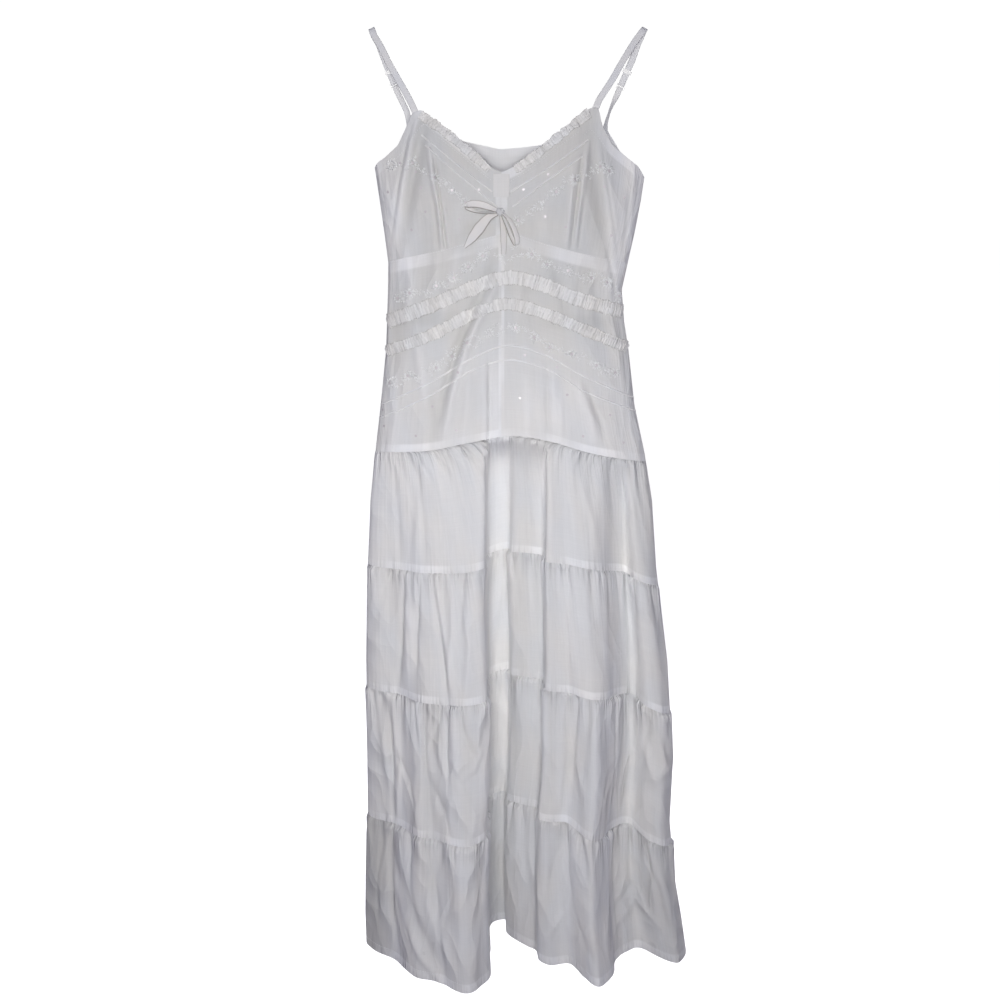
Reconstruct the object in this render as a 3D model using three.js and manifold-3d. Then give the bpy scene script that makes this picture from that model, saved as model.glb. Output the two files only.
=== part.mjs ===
// Maxi dress with thin straps, ruched midriff and four gathered tiers, as it hangs by its straps.
// Millimetres, +X to the right of the front view, the front faces -Y, +Z up.
// The origin is on the dress's middle line, level with the undersides of the two strap tops.
import * as THREE from "three";
import Module from "manifold-3d";

const manifoldLibrary = await Module();
manifoldLibrary.setup();

// Cloth, gaps and waves
const WALL = 1.2; // thickness of every cloth wall
const SEAM_GAP = 0.3; // between two pieces that are sewn together
const RUCHE_LIFT = 1.2; // from the hollow of the midriff to a ruche across it
const LIFT = 0.45; // from a cup to what is sewn on it
const CHORD_GAP = 0.35; // more room under the midriff, whose mesh columns differ from the skirt's
const FRONT_COLUMNS = 56; // four columns for each of the 14 gathers of a front tier
const BACK_COLUMNS = 44; // four columns for each of the 11 gathers of a back tier
const COLUMNS_PER_GATHER = 4;
const SPAN_SAMPLES = 14; // samples of the plan curve between two fold points
const CENTRE_X = 2; // centre front seam
const SUPERELLIPSE = 2.2; // roundness of the cross section above the skirt
const INSET_SCALE = 2.6; // brings the largest value of a fold's inset curve to 1
const PLAN_WIDTH = 450; // typical width of the skirt, so that shares and depths are spaced alike

function table(names, rows) {
  return rows.map((row) => Object.fromEntries(names.map((name, i) => [name, row[i]])));
}

// Outline of the hung dress from the front: x of the left and right side at each height.
const outline = table(["z", "left", "right"], [
  [-100, -188, 219],
  [-150, -182, 212],
  [-186, -176, 205],
  [-230, -170, 199],
  [-275, -164, 191],
  [-317, -159, 182],
  [-355, -160, 174],
  [-400, -162, 178],
  [-440, -164, 185],
  [-520, -173, 195],
  [-590, -182, 211],
  [-660, -190, 223],
  [-760, -196, 231],
  [-900, -201, 250],
  [-1050, -202, 261],
  [-1150, -203, 258],
  [-1250, -208, 268],
  [-1310, -210, 279],
  [-1400, -209, 293],
]);

// How far the front and the back stand off the side seams, above the skirt.
const depth = table(["z", "front", "back"], [
  [-100, 48, 36],
  [-190, 50, 38],
  [-275, 46, 38],
  [-400, 45, 39],
  [-590, 50, 45],
]);

// Fullness of the two cups: a soft round swelling each.
const cups = table(["x", "z", "radius", "height"], [
  [-84, -215, 44, 7],
  [92, -212, 44, 7],
]);

// Heights of the seams and strips of the front, at seven shares of the width from left to right.
const SHARES = [0, 0.2, 0.35, 0.5, 0.65, 0.8, 1];
const frontRows = {
  empire: [-316, -303, -290, -279, -293, -306, -318],
  ruche_upper: [-401, -376, -355, -339, -348, -368, -387],
  ruche_lower: [-443, -417, -391, -375, -387, -408, -438],
  seam_1: [-587, -582, -570, -560, -568, -586, -602],
  seam_2: [-755, -758, -754, -738, -743, -755, -786],
  seam_3: [-941, -948, -945, -931, -935, -945, -980],
  seam_4: [-1146, -1148, -1149, -1132, -1134, -1153, -1184],
  hem: [-1361, -1361, -1362, -1355, -1357, -1360, -1363],
};
// The skirt's seams, how far down the skirt each is, from its top to its hem.
const skirtSeams = table(["name", "down"], [
  ["seam_1", 0],
  ["seam_2", 0.22],
  ["seam_3", 0.465],
  ["seam_4", 0.73],
  ["hem", 1],
]);

// Top edges: neckline and armholes of the front, top edge of the back.
const frontTop = table(["share", "z"], [
  [0, -187], [0.013, -181], [0.048, -174], [0.102, -159], [0.133, -139], [0.15, -127], [0.163, -117],
  [0.195, -113], [0.256, -132], [0.329, -157], [0.391, -177], [0.426, -190], [0.468, -197], [0.516, -189],
  [0.551, -179], [0.602, -165], [0.669, -143], [0.734, -122], [0.766, -111], [0.795, -110], [0.812, -133],
  [0.856, -159], [0.91, -173], [0.966, -186], [1, -200],
]);
const backTop = table(["share", "z"], [
  [0, -187], [0.05, -176], [0.09, -160], [0.12, -135], [0.135, -122], [0.165, -122], [0.25, -134],
  [0.33, -146], [0.465, -157], [0.6, -152], [0.72, -140], [0.805, -129], [0.84, -129], [0.86, -140],
  [0.9, -162], [0.95, -183], [1, -200],
]);

// Folds of the skirt in plan, from the left side seam to the right one. share_top and share_hem are
// shares of the width, y_hem is the depth at the hem, a fold with early under 1 gets deep higher up, and
// inset moves a fold inwards between the skirt's top and its hem.
const FOLD_COLUMNS = ["share_top", "share_hem", "y_hem", "early", "inset"];
const frontFolds = table(FOLD_COLUMNS, [
  [0, 0, 10, 1, 0],
  [0.03, 0.03, -22, 1, 0],
  [0.152, 0.1, -48, 1, 4],
  [0.2, 0.165, -98, 1.1, 0],
  [0.27, 0.23, -110, 1.1, 0],
  [0.36, 0.325, -140, 1.1, 0],
  [0.405, 0.383, -112, 0.9, 0],
  [0.413, 0.391, -30, 0.4, 0],
  [0.425, 0.397, 62, 0.35, 10],
  [0.5, 0.438, 66, 0.35, 12],
  [0.52, 0.445, 25, 0.5, 15],
  [0.59, 0.51, -22, 0.6, 32],
  [0.626, 0.534, -34, 0.5, 34],
  [0.64, 0.5405, -64, 0.7, 0],
  [0.665, 0.575, -76, 1, 0],
  [0.7, 0.634, -68, 1, 0],
  [0.73, 0.672, -103, 1, 0],
  [0.76, 0.712, -130, 1.1, 0],
  [0.8, 0.752, -105, 1.1, 0],
  [0.843, 0.79, -45, 0.8, 8],
  [0.905, 0.852, -15, 0.8, 28],
  [0.93, 0.91, -40, 1, 0],
  [0.965, 0.965, -58, 1, 0],
  [1, 1, -22, 1, 0],
]);
const backFolds = table(FOLD_COLUMNS, [
  [0, 0, 10, 1, 0],
  [0.03, 0.025, 46, 1, 0],
  [0.11, 0.085, 98, 1, 0],
  [0.19, 0.165, 142, 1, 0],
  [0.27, 0.25, 86, 0.8, 0],
  [0.35, 0.335, 140, 1, 0],
  [0.42, 0.42, 88, 0.8, 0],
  [0.5, 0.5, 144, 1, 0],
  [0.58, 0.585, 90, 0.8, 0],
  [0.66, 0.665, 146, 1, 0],
  [0.74, 0.75, 86, 0.8, 0],
  [0.82, 0.835, 138, 1, 0],
  [0.9, 0.915, 82, 1, 0],
  [0.97, 0.975, 34, 1, 0],
  [1, 1, -22, 1, 0],
]);

// Depth of the gathers under a tier's top seam, at each row of its mesh.
const tierRows = table(["down", "gather"], [
  [0, 0.4],
  [0.1, 2.4],
  [0.35, 1.8],
  [0.68, 0.9],
  [1, 0.3],
]);

// Straight-line value of a table at a key that grows or falls from row to row.
function at(rows, key, value, where) {
  const sign = Math.sign(rows[rows.length - 1][key] - rows[0][key]);
  let i = 1;
  while (i < rows.length - 1 && (rows[i][key] - where) * sign < 0) i++;
  const [a, b] = [rows[i - 1], rows[i]];
  const f = THREE.MathUtils.clamp((where - a[key]) / (b[key] - a[key]), 0, 1);
  return a[value] + (b[value] - a[value]) * f;
}

// Height of a front row at a share of the width, rounded at the middle.
function rowHeight(name, share) {
  const heights = frontRows[name];
  const last = SHARES.length - 1;
  let i = 0;
  while (i < last - 1 && share > SHARES[i + 1]) i++;
  const slope = (k) => {
    const [lo, hi] = [Math.max(0, k - 1), Math.min(last, k + 1)];
    return (heights[hi] - heights[lo]) / (SHARES[hi] - SHARES[lo]);
  };
  const width = SHARES[i + 1] - SHARES[i];
  const f = (share - SHARES[i]) / width;
  const [f2, f3] = [f * f, f * f * f];
  return (
    heights[i] * (2 * f3 - 3 * f2 + 1) +
    slope(i) * width * (f3 - 2 * f2 + f) +
    heights[i + 1] * (3 * f2 - 2 * f3) +
    slope(i + 1) * width * (f3 - f2)
  );
}
// A back seam runs straight from side seam to side seam.
function backHeight(name, share) {
  return THREE.MathUtils.lerp(rowHeight(name, 0), rowHeight(name, 1), share);
}

function xAt(share, z) {
  return THREE.MathUtils.lerp(at(outline, "z", "left", z), at(outline, "z", "right", z), share);
}
function shareAt(x, z) {
  const left = at(outline, "z", "left", z);
  return (x - left) / (at(outline, "z", "right", z) - left);
}
function roundness(share) {
  return Math.sqrt(Math.max(0, 1 - Math.abs(2 * share - 1) ** SUPERELLIPSE));
}
function cupHeight(x, z) {
  return cups.reduce((sum, cup) => {
    const distance = Math.hypot(x - cup.x, z - cup.z) / cup.radius;
    return sum + cup.height * Math.exp(-distance * distance);
  }, 0);
}

// A point of the front or back above the skirt, by share of the width and height.
function frontPoint(share, z) {
  const x = xAt(share, z);
  const round = roundness(share);
  return new THREE.Vector3(x, -round * (at(depth, "z", "front", z) + cupHeight(x, z)), z);
}
function backPoint(share, z) {
  return new THREE.Vector3(xAt(share, z), roundness(share) * at(depth, "z", "back", z), z);
}

// The skirt's plan at a share of the way down: points evenly spaced along the cloth, as x share and y.
function planCurve(folds, otherFolds, down, columns, standoff, otherStandoff) {
  const place = (fold, side) => {
    const start = side * roundness(fold.share_top);
    const share = THREE.MathUtils.lerp(fold.share_top, fold.share_hem, down);
    const inset = fold.inset * INSET_SCALE * Math.sqrt(down) * (1 - down);
    const y = start + (fold.y_hem - start) * down ** fold.early + inset;
    return new THREE.Vector3(share, y / PLAN_WIDTH, 0);
  };
  const ring = [
    ...folds.map((fold) => place(fold, standoff)),
    ...otherFolds.slice(1, -1).reverse().map((fold) => place(fold, otherStandoff)),
  ];
  const curve = new THREE.CatmullRomCurve3(ring, true, "centripetal");
  const spans = folds.length - 1;
  const samples = [];
  for (let i = 0; i <= spans * SPAN_SAMPLES; i++) {
    samples.push(curve.getPoint(i / SPAN_SAMPLES / ring.length));
  }
  return evenly(samples, columns).map((p) => ({ share: p.x, y: p.y * PLAN_WIDTH }));
}

function evenly(samples, columns) {
  const lengths = [0];
  for (let i = 1; i < samples.length; i++) {
    lengths.push(lengths[i - 1] + samples[i].distanceTo(samples[i - 1]));
  }
  const total = lengths[lengths.length - 1];
  const points = [];
  let i = 1;
  for (let j = 0; j <= columns; j++) {
    const wanted = (total * j) / columns;
    while (i < samples.length - 1 && lengths[i] < wanted) i++;
    const f = (wanted - lengths[i - 1]) / (lengths[i] - lengths[i - 1]);
    points.push(new THREE.Vector3().lerpVectors(samples[i - 1], samples[i], f));
  }
  return points;
}

// Closed mesh from two grids of points, outer and inner, of the same size.
function shell(outer, inner) {
  const rows = outer.length;
  const columns = outer[0].length;
  const points = [...outer.flat(), ...inner.flat()];
  const index = [];
  const out = (i, j) => i * columns + j;
  const back = (i, j) => rows * columns + i * columns + j;
  const quad = (a, b, c, d) => index.push(a, b, c, a, c, d);
  for (let i = 0; i < rows - 1; i++) {
    for (let j = 0; j < columns - 1; j++) {
      quad(out(i, j), out(i + 1, j), out(i + 1, j + 1), out(i, j + 1));
      quad(back(i, j), back(i, j + 1), back(i + 1, j + 1), back(i + 1, j));
    }
  }
  for (let j = 0; j < columns - 1; j++) {
    quad(out(0, j), out(0, j + 1), back(0, j + 1), back(0, j));
    quad(out(rows - 1, j + 1), out(rows - 1, j), back(rows - 1, j), back(rows - 1, j + 1));
  }
  for (let i = 0; i < rows - 1; i++) {
    quad(out(i + 1, 0), out(i, 0), back(i, 0), back(i + 1, 0));
    quad(out(i, columns - 1), out(i + 1, columns - 1), back(i + 1, columns - 1), back(i, columns - 1));
  }
  const geometry = new THREE.BufferGeometry();
  geometry.setAttribute("position", new THREE.Float32BufferAttribute(points.flatMap((p) => [p.x, p.y, p.z]), 3));
  geometry.setIndex(signedVolume(points, index) < 0 ? index.reverse() : index);
  geometry.computeVertexNormals();
  return geometry;
}

function signedVolume(points, index) {
  let volume = 0;
  for (let i = 0; i < index.length; i += 3) {
    const [a, b, c] = [points[index[i]], points[index[i + 1]], points[index[i + 2]]];
    volume += a.dot(new THREE.Vector3().crossVectors(b, c));
  }
  return volume;
}

// Horizontal direction out of the dress at each point of a row; at a side seam it is straight sideways.
function outward(row, side, ends) {
  return row.map((_, j) => {
    if (j === 0 && ends.left) return new THREE.Vector3(-1, 0, 0);
    if (j === row.length - 1 && ends.right) return new THREE.Vector3(1, 0, 0);
    const a = row[Math.max(0, j - 1)];
    const b = row[Math.min(row.length - 1, j + 1)];
    return new THREE.Vector3(b.y - a.y, a.x - b.x, 0).normalize().multiplyScalar(side);
  });
}

// Wall of cloth from rows of outer points. side is 1 for the front and -1 for the back, and ends says
// which ends of the rows are at a side seam.
function wall(rows, side, ends) {
  const inner = rows.map((row) => {
    const directions = outward(row, side, ends);
    return row.map((p, j) => p.clone().addScaledVector(directions[j], -WALL));
  });
  return shell(rows, inner);
}

const HALF_GAP = SEAM_GAP / 2;
const FRONT = 1;
const BACK = -1;

// Panel of the bodice or midriff: rows of points between a top edge and a bottom edge.
function panel(shares, rowCount, topEdge, bottomEdge, side) {
  const ends = { left: shares[0] === 0, right: shares[shares.length - 1] === 1 };
  const surface = side === FRONT ? frontPoint : backPoint;
  const rows = [];
  for (let i = 0; i <= rowCount; i++) {
    rows.push(
      shares.map((share, j) => {
        const z = THREE.MathUtils.lerp(topEdge(share), bottomEdge(share) + HALF_GAP, i / rowCount);
        const point = surface(share, z);
        const atEnd = j === 0 || j === shares.length - 1;
        if (atEnd && (share === 0 || share === 1)) point.y -= side * HALF_GAP;
        if (atEnd && share > 0 && share < 1) point.x = CENTRE_X + (j === 0 ? HALF_GAP : -HALF_GAP);
        return point;
      }),
    );
  }
  return wall(rows, side, ends);
}

// One tier of the skirt, front or back, between two of the skirt's seams.
function tier(number, side) {
  const [top, bottom] = [skirtSeams[number - 1], skirtSeams[number]];
  const columns = side === FRONT ? FRONT_COLUMNS : BACK_COLUMNS;
  const height = side === FRONT ? rowHeight : backHeight;
  const start = depth[depth.length - 1];
  const rows = tierRows.map((tierRow) => {
    const down = THREE.MathUtils.lerp(top.down, bottom.down, tierRow.down);
    const plan =
      side === FRONT
        ? planCurve(frontFolds, backFolds, down, columns, -start.front, start.back)
        : planCurve(backFolds, frontFolds, down, columns, start.back, -start.front);
    const row = plan.map(({ share, y }) => {
      const from = height(top.name, share) - HALF_GAP - (number === 1 ? CHORD_GAP : 0);
      const to = height(bottom.name, share) + (number === 4 ? 0 : HALF_GAP);
      const z = THREE.MathUtils.lerp(from, to, tierRow.down);
      return new THREE.Vector3(xAt(share, z), y, z);
    });
    row[0].y -= side * HALF_GAP;
    row[columns].y -= side * HALF_GAP;
    const directions = outward(row, side, { left: true, right: true });
    return row.map((p, j) => p.addScaledVector(directions[j], tierRow.gather * gatherWave(j, number)));
  });
  return wall(rows, side, { left: true, right: true });
}

// Gathers of uneven depth, one for every few columns.
function gatherWave(column, seed) {
  const gather = Math.floor(column / COLUMNS_PER_GATHER);
  const uneven = 0.7 + 0.3 * Math.sin(2.3 * gather + 1.7 * seed);
  return uneven * Math.sin((2 * Math.PI * column) / COLUMNS_PER_GATHER);
}

// Direction out of the front at a place on it.
function frontNormal(share, z) {
  const step = 0.004;
  const across = frontPoint(Math.min(1, share + step), z).sub(frontPoint(Math.max(0, share - step), z));
  const up = frontPoint(share, z + 2).sub(frontPoint(share, z - 2));
  return new THREE.Vector3().crossVectors(across, up).normalize();
}

// Strip of cloth that lies on the front along a line of places, puckered by its gathers.
function strip(line, { width, gathers, lowest, pucker, edgeWave }) {
  const outer = [[], []];
  const inner = [[], []];
  line.forEach((place, j) => {
    const before = line[Math.max(0, j - 1)];
    const after = line[Math.min(line.length - 1, j + 1)];
    const across = new THREE.Vector2(-(after.z - before.z), after.x - before.x).normalize();
    const phase = (Math.PI * 2 * gathers * j) / (line.length - 1);
    const uneven = 0.75 + 0.25 * Math.sin(0.37 * j * gathers);
    const lift = lowest + pucker * uneven * (0.5 + 0.5 * Math.sin(phase));
    [1, -1].forEach((edge, row) => {
      const reach = edge * (width / 2 + edgeWave * uneven * Math.cos(phase));
      const x = place.x + across.x * reach;
      const z = place.z + across.y * reach;
      const share = THREE.MathUtils.clamp(shareAt(x, z), 0.002, 0.998);
      const foot = frontPoint(share, z);
      const normal = frontNormal(share, z);
      inner[row].push(foot.clone().addScaledVector(normal, lift));
      outer[row].push(foot.clone().addScaledVector(normal, lift + WALL));
    });
  });
  return shell(outer, inner);
}

// Ribbon that follows a path, with its width along a direction given at each point.
function ribbon(path, widths, width, thickness) {
  const sides = [[], []];
  const insides = [[], []];
  path.forEach((point, i) => {
    const along = path[Math.min(path.length - 1, i + 1)].clone().sub(path[Math.max(0, i - 1)]).normalize();
    const across = widths[i].clone().addScaledVector(along, -widths[i].dot(along)).normalize();
    const face = new THREE.Vector3().crossVectors(along, across);
    [1, -1].forEach((edge, row) => {
      const middle = point.clone().addScaledVector(across, (edge * width) / 2);
      sides[row].push(middle.clone().addScaledVector(face, thickness / 2));
      insides[row].push(middle.clone().addScaledVector(face, -thickness / 2));
    });
  });
  return shell(sides, insides);
}

function smoothPath(points, segments) {
  const curve = new THREE.CatmullRomCurve3(points.map((p) => new THREE.Vector3(...p)), false, "centripetal");
  return curve.getPoints(segments);
}
function turning(directions, count) {
  const curve = new THREE.CatmullRomCurve3(directions.map((d) => new THREE.Vector3(...d)));
  return curve.getPoints(count).map((d) => d.normalize());
}

// Bodice and midriff
const LEFT_SHARES = [0, 0.012, 0.04, 0.075, 0.11, 0.14, 0.163, 0.195, 0.24, 0.29, 0.34, 0.39, 0.43, 0.468];
const RIGHT_SHARES = [0.468, 0.51, 0.56, 0.61, 0.66, 0.71, 0.745, 0.766, 0.795, 0.815, 0.86, 0.91, 0.96, 0.988, 1];
const BACK_SHARES = [0, 0.012, 0.05, 0.09, 0.12, 0.135, 0.165, 0.21, 0.27, 0.33, 0.395, 0.465, 0.53, 0.6, 0.66, 0.72,
  0.77, 0.805, 0.84, 0.86, 0.91, 0.95, 0.988, 1];
const BODICE_ROWS = 5;
const MIDRIFF_ROWS = 7;

function bodiceFront(shares) {
  return panel(shares, BODICE_ROWS, (s) => at(frontTop, "share", "z", s), (s) => rowHeight("empire", s), FRONT);
}
function midriffFront(shares) {
  const top = (s) => rowHeight("empire", s) - HALF_GAP;
  return panel(shares, MIDRIFF_ROWS, top, (s) => rowHeight("seam_1", s), FRONT);
}
function bodiceBack() {
  return panel(BACK_SHARES, 3, (s) => at(backTop, "share", "z", s), (s) => backHeight("empire", s), BACK);
}
function midriffBack() {
  const top = (s) => backHeight("empire", s) - HALF_GAP;
  return panel(BACK_SHARES, 4, top, (s) => backHeight("seam_1", s), BACK);
}

// Strips on the front: ruches, neck ruffles and the band between the cups
const RUCHE_GATHERS = 22;
const NECK_GATHERS = 13;

function ruche(name, width, from, to) {
  const count = RUCHE_GATHERS * COLUMNS_PER_GATHER;
  const line = [];
  for (let j = 0; j <= count; j++) {
    const turn = THREE.MathUtils.lerp(from, to, j / count);
    const share = (1 - Math.cos(Math.PI * turn)) / 2;
    const z = rowHeight(name, share);
    line.push({ x: xAt(share, z), z });
  }
  return strip(line, { width, gathers: RUCHE_GATHERS, lowest: RUCHE_LIFT, pucker: 1.2, edgeWave: 0.8 });
}
function neckRuffle(points) {
  const curve = new THREE.CatmullRomCurve3(points.map(([x, z]) => new THREE.Vector3(x, 0, z)));
  const line = curve.getSpacedPoints(NECK_GATHERS * COLUMNS_PER_GATHER).map((p) => ({ x: p.x, z: p.z }));
  return strip(line, { width: 11, gathers: NECK_GATHERS, lowest: LIFT + 0.25, pucker: 1.2, edgeWave: 0.9 });
}
function centreBand() {
  const line = table(["x", "z"], [[CENTRE_X, -199], [CENTRE_X, -209], [CENTRE_X, -219], [CENTRE_X, -230]]);
  return strip(line, { width: 22, gathers: 1, lowest: LIFT, pucker: 0, edgeWave: 0 });
}

// Straps: over the shoulder, down the back and round a ring, with the end held by a slider. A short
// strap joins the ring to the back.
const STRAP_WIDTH = 9;
const BEND_RADIUS = 1.7; // of a strap's middle round a ring's bar
const RING_BAR = 1;
const RING_HOLE = 4.6;
const RING_SPACING = RING_HOLE + RING_BAR; // between the middles of its two bars
const SHORT_PLY = 7; // folded-over end of the short strap
const SLIDER_HEIGHT = 5;

const vector = ([x, y, z]) => new THREE.Vector3(x, y, z);
const straps = {
  left: {
    front: [[-110.4, -34.3, -129], [-115.6, -34.7, -116.5], [-124.1, -30, -98.8], [-139.5, -22, -71.2],
      [-151.2, -17.5, -51], [-165, -11.8, -24], [-174.6, -7.4, -8]],
    top: [[-176.3, -5.6, -2.6], [-177.3, -2.6, 0.1], [-177.6, 0, 0.6], [-177.4, 2.6, 0.1], [-176.4, 5.6, -2.6]],
    back: [[-174.8, 7, -8], [-169, 7.6, -18], [-160.9, 10, -40]],
    fold: [-149, 15.4, -69.5],
    across: [0.9, 0, 0.42],
    down: [[-138.5, 19.5, -93], [-131.8, 21.9, -107.5], [-129.2, 23.4, -119], [-127.3, 23.2, -133]],
    turns: [[0.9, 0, 0.42], [0.9, 0, 0.42], [0.95, 0.1, 0.3], [1, 0.1, 0.15], [1, 0.2, 0.1]],
  },
  right: {
    front: [[126.8, -34, -120], [131.8, -33.8, -108.6], [136.1, -31, -98.9], [153.8, -23.5, -71.5],
      [169.8, -16.5, -43.9], [187.2, -9.5, -16.3], [195.8, -7.2, -5]],
    top: [[198.3, -5.6, -2], [199.8, -2.6, 0.2], [200.2, 0, 0.6], [199.8, 2.6, 0.2], [198.4, 5.6, -2.4]],
    back: [[196.2, 7, -8], [191, 7.8, -20], [185, 9.6, -38]],
    fold: [170.5, 15.2, -71.5],
    across: [-0.88, 0, 0.44],
    down: [[157.2, 20.8, -101], [152.4, 22.8, -115], [149.6, 23.2, -126], [148.6, 22.8, -137]],
    turns: [[-0.88, 0, 0.44], [-0.88, 0.1, 0.44], [-0.4, 1, 0.2], [-0.5, 0.9, 0.1], [-1, 0.15, 0]],
  },
};

// Directions at the folded end: along the strap, across it and out behind it, and the ring's two bars.
function strapEnd({ back, fold, across }) {
  const end = vector(fold);
  const along = end.clone().sub(vector(back[back.length - 1])).normalize();
  const wide = vector(across).addScaledVector(along, -vector(across).dot(along)).normalize();
  const behind = new THREE.Vector3().crossVectors(along, wide);
  if (behind.y < 0) behind.negate();
  const upperBar = end.clone().addScaledVector(behind, BEND_RADIUS);
  const lowerBar = upperBar.clone().addScaledVector(along, RING_SPACING);
  return { end, along, wide, behind, upperBar, lowerBar };
}
// Half turn round a bar: starts at its side "from" and passes its side "past".
function halfTurn(bar, from, past) {
  return [0, 0.25, 0.5, 0.75, 1].map((f) =>
    bar
      .clone()
      .addScaledVector(from, BEND_RADIUS * Math.cos(Math.PI * f))
      .addScaledVector(past, BEND_RADIUS * Math.sin(Math.PI * f)),
  );
}

function strap(spec) {
  const { along, behind, upperBar } = strapEnd(spec);
  const before = behind.clone().negate();
  const start = vector(spec.back[spec.back.length - 1]);
  const path = [
    ...smoothPath(spec.front, 8),
    ...spec.top.map(vector),
    ...spec.back.map(vector),
    ...halfTurn(upperBar, before, along),
    start.addScaledVector(behind, 2 * BEND_RADIUS),
  ];
  return ribbon(path, path.map(() => vector(spec.across)), STRAP_WIDTH, WALL);
}
function backStrap(spec) {
  const { along, behind, lowerBar } = strapEnd(spec);
  const turn = halfTurn(lowerBar, behind, along.clone().negate());
  const ply = turn[0].clone().addScaledVector(along, SHORT_PLY);
  const straight = turn[turn.length - 1].clone().addScaledVector(along, SHORT_PLY);
  const count = 14;
  const lower = smoothPath([straight.toArray(), ...spec.down], count);
  const widths = [ply, ...turn].map(() => vector(spec.across)).concat(turning(spec.turns, count));
  return ribbon([ply, ...turn, ...lower], widths, STRAP_WIDTH - 1, WALL);
}

// Flat frame round a hole, in the plane of two directions, with its depth along the third.
function frame(middle, wide, high, deep, size) {
  const rectangle = (width, height) =>
    [[-1, -1], [1, -1], [1, 1], [-1, 1]].map(([a, b]) => new THREE.Vector2((a * width) / 2, (b * height) / 2));
  const shape = new THREE.Shape(rectangle(size.holeWidth + 2 * size.bar, size.holeHeight + 2 * size.bar));
  shape.holes.push(new THREE.Path(rectangle(size.holeWidth, size.holeHeight)));
  const geometry = new THREE.ExtrudeGeometry(shape, { depth: size.depth, bevelEnabled: false });
  geometry.translate(0, 0, -size.depth / 2);
  geometry.applyMatrix4(new THREE.Matrix4().makeBasis(wide, high, deep).setPosition(middle));
  return geometry;
}
function ring(spec) {
  const { along, wide, upperBar, lowerBar } = strapEnd(spec);
  const deep = new THREE.Vector3().crossVectors(wide, along);
  const middle = upperBar.clone().lerp(lowerBar, 0.5);
  const size = { holeWidth: STRAP_WIDTH + 1, holeHeight: RING_HOLE, bar: RING_BAR, depth: RING_BAR };
  return frame(middle, wide, along, deep, size);
}
function slider(spec) {
  const { end, along, wide, behind } = strapEnd(spec);
  const middle = vector(spec.back[spec.back.length - 1]).lerp(end, 0.5).addScaledVector(behind, BEND_RADIUS);
  const high = new THREE.Vector3().crossVectors(along, wide);
  const holeHeight = 2 * BEND_RADIUS + WALL + 0.8;
  const size = { holeWidth: STRAP_WIDTH + 1.2, holeHeight, bar: 1.2, depth: SLIDER_HEIGHT };
  return frame(middle, wide, high, along, size);
}

// Bow: one narrow tie, with its knot, two loops and two ends joined into one solid
const TIE_WIDTH = 6.5;
const tieParts = [
  {
    path: [[0, -52.3, -249], [-12, -53.3, -242], [-28, -54.3, -236], [-43, -53.3, -236], [-47, -52.3, -240], [-40, -51.3, -246],
      [-24, -51.3, -249], [-2, -51.3, -250]],
    widths: [[0, 1, 0.4], [0.1, 1, 0.7], [0.2, 1, 0.7], [0, 1, 0.4]],
  },
  {
    path: [[1, -52.3, -250], [10, -53.3, -258], [19, -54.3, -272], [25, -52.3, -288], [23, -50.8, -293], [18, -50.8, -286],
      [11, -51.3, -270], [3, -51.3, -254]],
    widths: [[0.4, 1, 0.2], [0.6, 1, 0.3], [0.5, 1, 0.2], [0.3, 1, 0.1]],
  },
  {
    path: [[-3, -51.3, -251], [-16, -51.3, -255], [-31, -50.3, -267], [-42, -48.3, -281], [-49, -47.3, -295]],
    widths: [[0.2, 0.5, 1], [0.5, 0.5, 0.8], [0.8, 0.4, 0.5]],
  },
  {
    path: [[0, -50.3, -251], [3, -49.3, -266], [5, -48.3, -284], [5, -47.3, -305]],
    widths: [[1, 0.2, 0], [1, 0.1, 0], [1, 0, 0]],
  },
];

function solid(geometry) {
  const mesh = new manifoldLibrary.Mesh({
    numProp: 3,
    vertProperties: new Float32Array(geometry.getAttribute("position").array),
    triVerts: new Uint32Array(geometry.index.array),
  });
  mesh.merge();
  return new manifoldLibrary.Manifold(mesh);
}
function tieBow() {
  const knot = manifoldLibrary.Manifold.sphere(1, 16).scale([6, 4.2, 5.5]).translate([0, -52.5, -250]);
  const loops = tieParts.map(({ path, widths }) => {
    const points = smoothPath(path, 16);
    return solid(ribbon(points, turning(widths, 16), TIE_WIDTH, WALL));
  });
  const mesh = manifoldLibrary.Manifold.union([knot, ...loops]).getMesh();
  const geometry = new THREE.BufferGeometry();
  geometry.setAttribute("position", new THREE.BufferAttribute(mesh.vertProperties, 3));
  geometry.setIndex(new THREE.BufferAttribute(mesh.triVerts, 1));
  geometry.computeVertexNormals();
  return geometry;
}

// Materials
const voile = new THREE.MeshStandardMaterial({ name: "cotton_voile", color: 0xe9eaec, roughness: 0.9 });
const strapCloth = new THREE.MeshStandardMaterial({ name: "strap_cloth", color: 0xdfe0e2, roughness: 0.9 });
const plastic = new THREE.MeshStandardMaterial({ name: "slider_plastic", color: 0xf1f1ee, roughness: 0.4 });

const dress = new THREE.Group();
function add(name, geometry, material) {
  const mesh = new THREE.Mesh(geometry, material);
  mesh.name = name;
  dress.add(mesh);
}

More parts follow.
